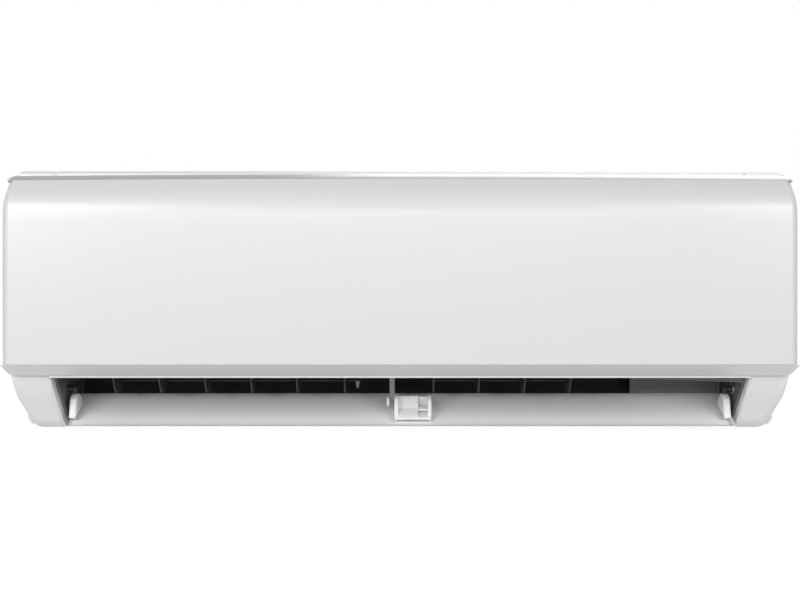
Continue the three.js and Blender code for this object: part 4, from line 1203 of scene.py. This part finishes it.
@dataclass
class Studio:
    """Plain pale floor, white surroundings, soft lamps and the camera."""

    floor_height: float = -1.1
    floor_size: float = 60.0
    surround: float = 0.1
    lens: float = 50.0
    camera: tuple[float, float, float] = (0.0, -1.555, -0.0015)
    lamps: tuple[SoftBox, ...] = (
        SoftBox("lamp_left", (-1.3, -1.95, 0.8), (-0.1, -0.1, -0.1), (1.0, 1.3), 29.5),
        SoftBox("lamp_right", (1.4, -1.95, 0.8), (0.1, -0.1, -0.1), (1.0, 1.3), 23.5),
        SoftBox("lamp_front", (0.0, -2.3, 0.45), (0.0, -0.1, -0.1), (1.6, 0.4), 9.5),
        SoftBox("lamp_behind", (0.7, 2.2, 1.5), (0.0, 0.0, 0.0), (2.0, 1.4), 26.0),
        SoftBox("lamp_below", (0.0, -1.5, -0.95), (0.0, -0.15, -0.1), (2.0, 0.8), 4.0),
    )

    def white_to_camera(self, tree: Tree, strength: float) -> Socket:
        """Adds a value that is strength for camera, glossy and transmitted rays, and else 0."""
        path = tree.nodes.new("ShaderNodeLightPath")
        largest = path.outputs["Is Camera Ray"]
        for output in ("Is Glossy Ray", "Is Transmission Ray"):
            both = tree.nodes.new("ShaderNodeMath")
            both.operation = "MAXIMUM"
            tree.links.new(largest, both.inputs[0])
            tree.links.new(path.outputs[output], both.inputs[1])
            largest = both.outputs["Value"]
        scaled = tree.nodes.new("ShaderNodeMath")
        scaled.operation = "MULTIPLY"
        scaled.inputs[1].default_value = strength
        tree.links.new(largest, scaled.inputs[0])
        return scaled.outputs["Value"]

    def world(self) -> None:
        """Sets an even world that the camera sees as plain white."""
        world = bpy.data.worlds.new("surround")
        world.use_nodes = True
        tree = world.node_tree
        back = tree.nodes["Background"]
        back.inputs["Color"].default_value = (1, 1, 1, 1)
        total = tree.nodes.new("ShaderNodeMath")
        total.operation = "ADD"
        total.inputs[1].default_value = self.surround
        tree.links.new(self.white_to_camera(tree, 1.0 - self.surround), total.inputs[0])
        tree.links.new(total.outputs["Value"], back.inputs["Strength"])
        bpy.context.scene.world = world

    def floor(self) -> None:
        """Lays the pale floor: a grid so wide that its edge lies at the horizon."""
        reach = np.linspace(-self.floor_size, self.floor_size, 9)
        x, y = np.meshgrid(reach, reach, indexing="ij")
        grid = np.stack([x, y, np.full_like(x, self.floor_height)], -1) / MM
        grid[..., 1] += DEPTH
        piece = Surface().grid(grid, ring=False).mesh("studio_floor", outwards=False)
        made = bpy.data.materials.new("pale floor")
        made.use_nodes = True
        tree = made.node_tree
        shader = tree.nodes["Principled BSDF"]
        shader.inputs["Base Color"].default_value = (0.7, 0.7, 0.7, 1)
        shader.inputs["Roughness"].default_value = 0.8
        shader.inputs["Specular IOR Level"].default_value = 0.1
        shader.inputs["Emission Color"].default_value = (1, 1, 1, 1)
        tree.links.new(self.white_to_camera(tree, 0.9), shader.inputs["Emission Strength"])
        piece.data.materials.append(made)

    def build(self) -> None:
        """Builds the studio and points the camera along the depth of the unit."""
        scene = bpy.context.scene
        data = bpy.data.cameras.new("camera")
        data.lens, data.sensor_width, data.clip_end = self.lens, 36.0, 200.0
        camera = bpy.data.objects.new("camera", data)
        camera.location = self.camera
        camera.rotation_euler = (math.pi / 2, 0, 0)
        scene.collection.objects.link(camera)
        scene.camera = camera
        scene.view_settings.view_transform = "Standard"
        self.world()
        self.floor()
        for lamp in self.lamps:
            lamp.build()


def main() -> None:
    """Builds the unit's pieces in order, and the studio round them."""
    logging.basicConfig(level=logging.INFO, format="%(name)s: %(message)s")
    shells = (FrontPanel(), Casing(), EndWalls(), Louver(), Vanes(), Strut())
    for part in (*shells, FilterNets(), *LINES, KEPT, Studio()):
        part.build()
        log.info("%s is built", type(part).__name__)


if __name__ == "__main__":
    main()
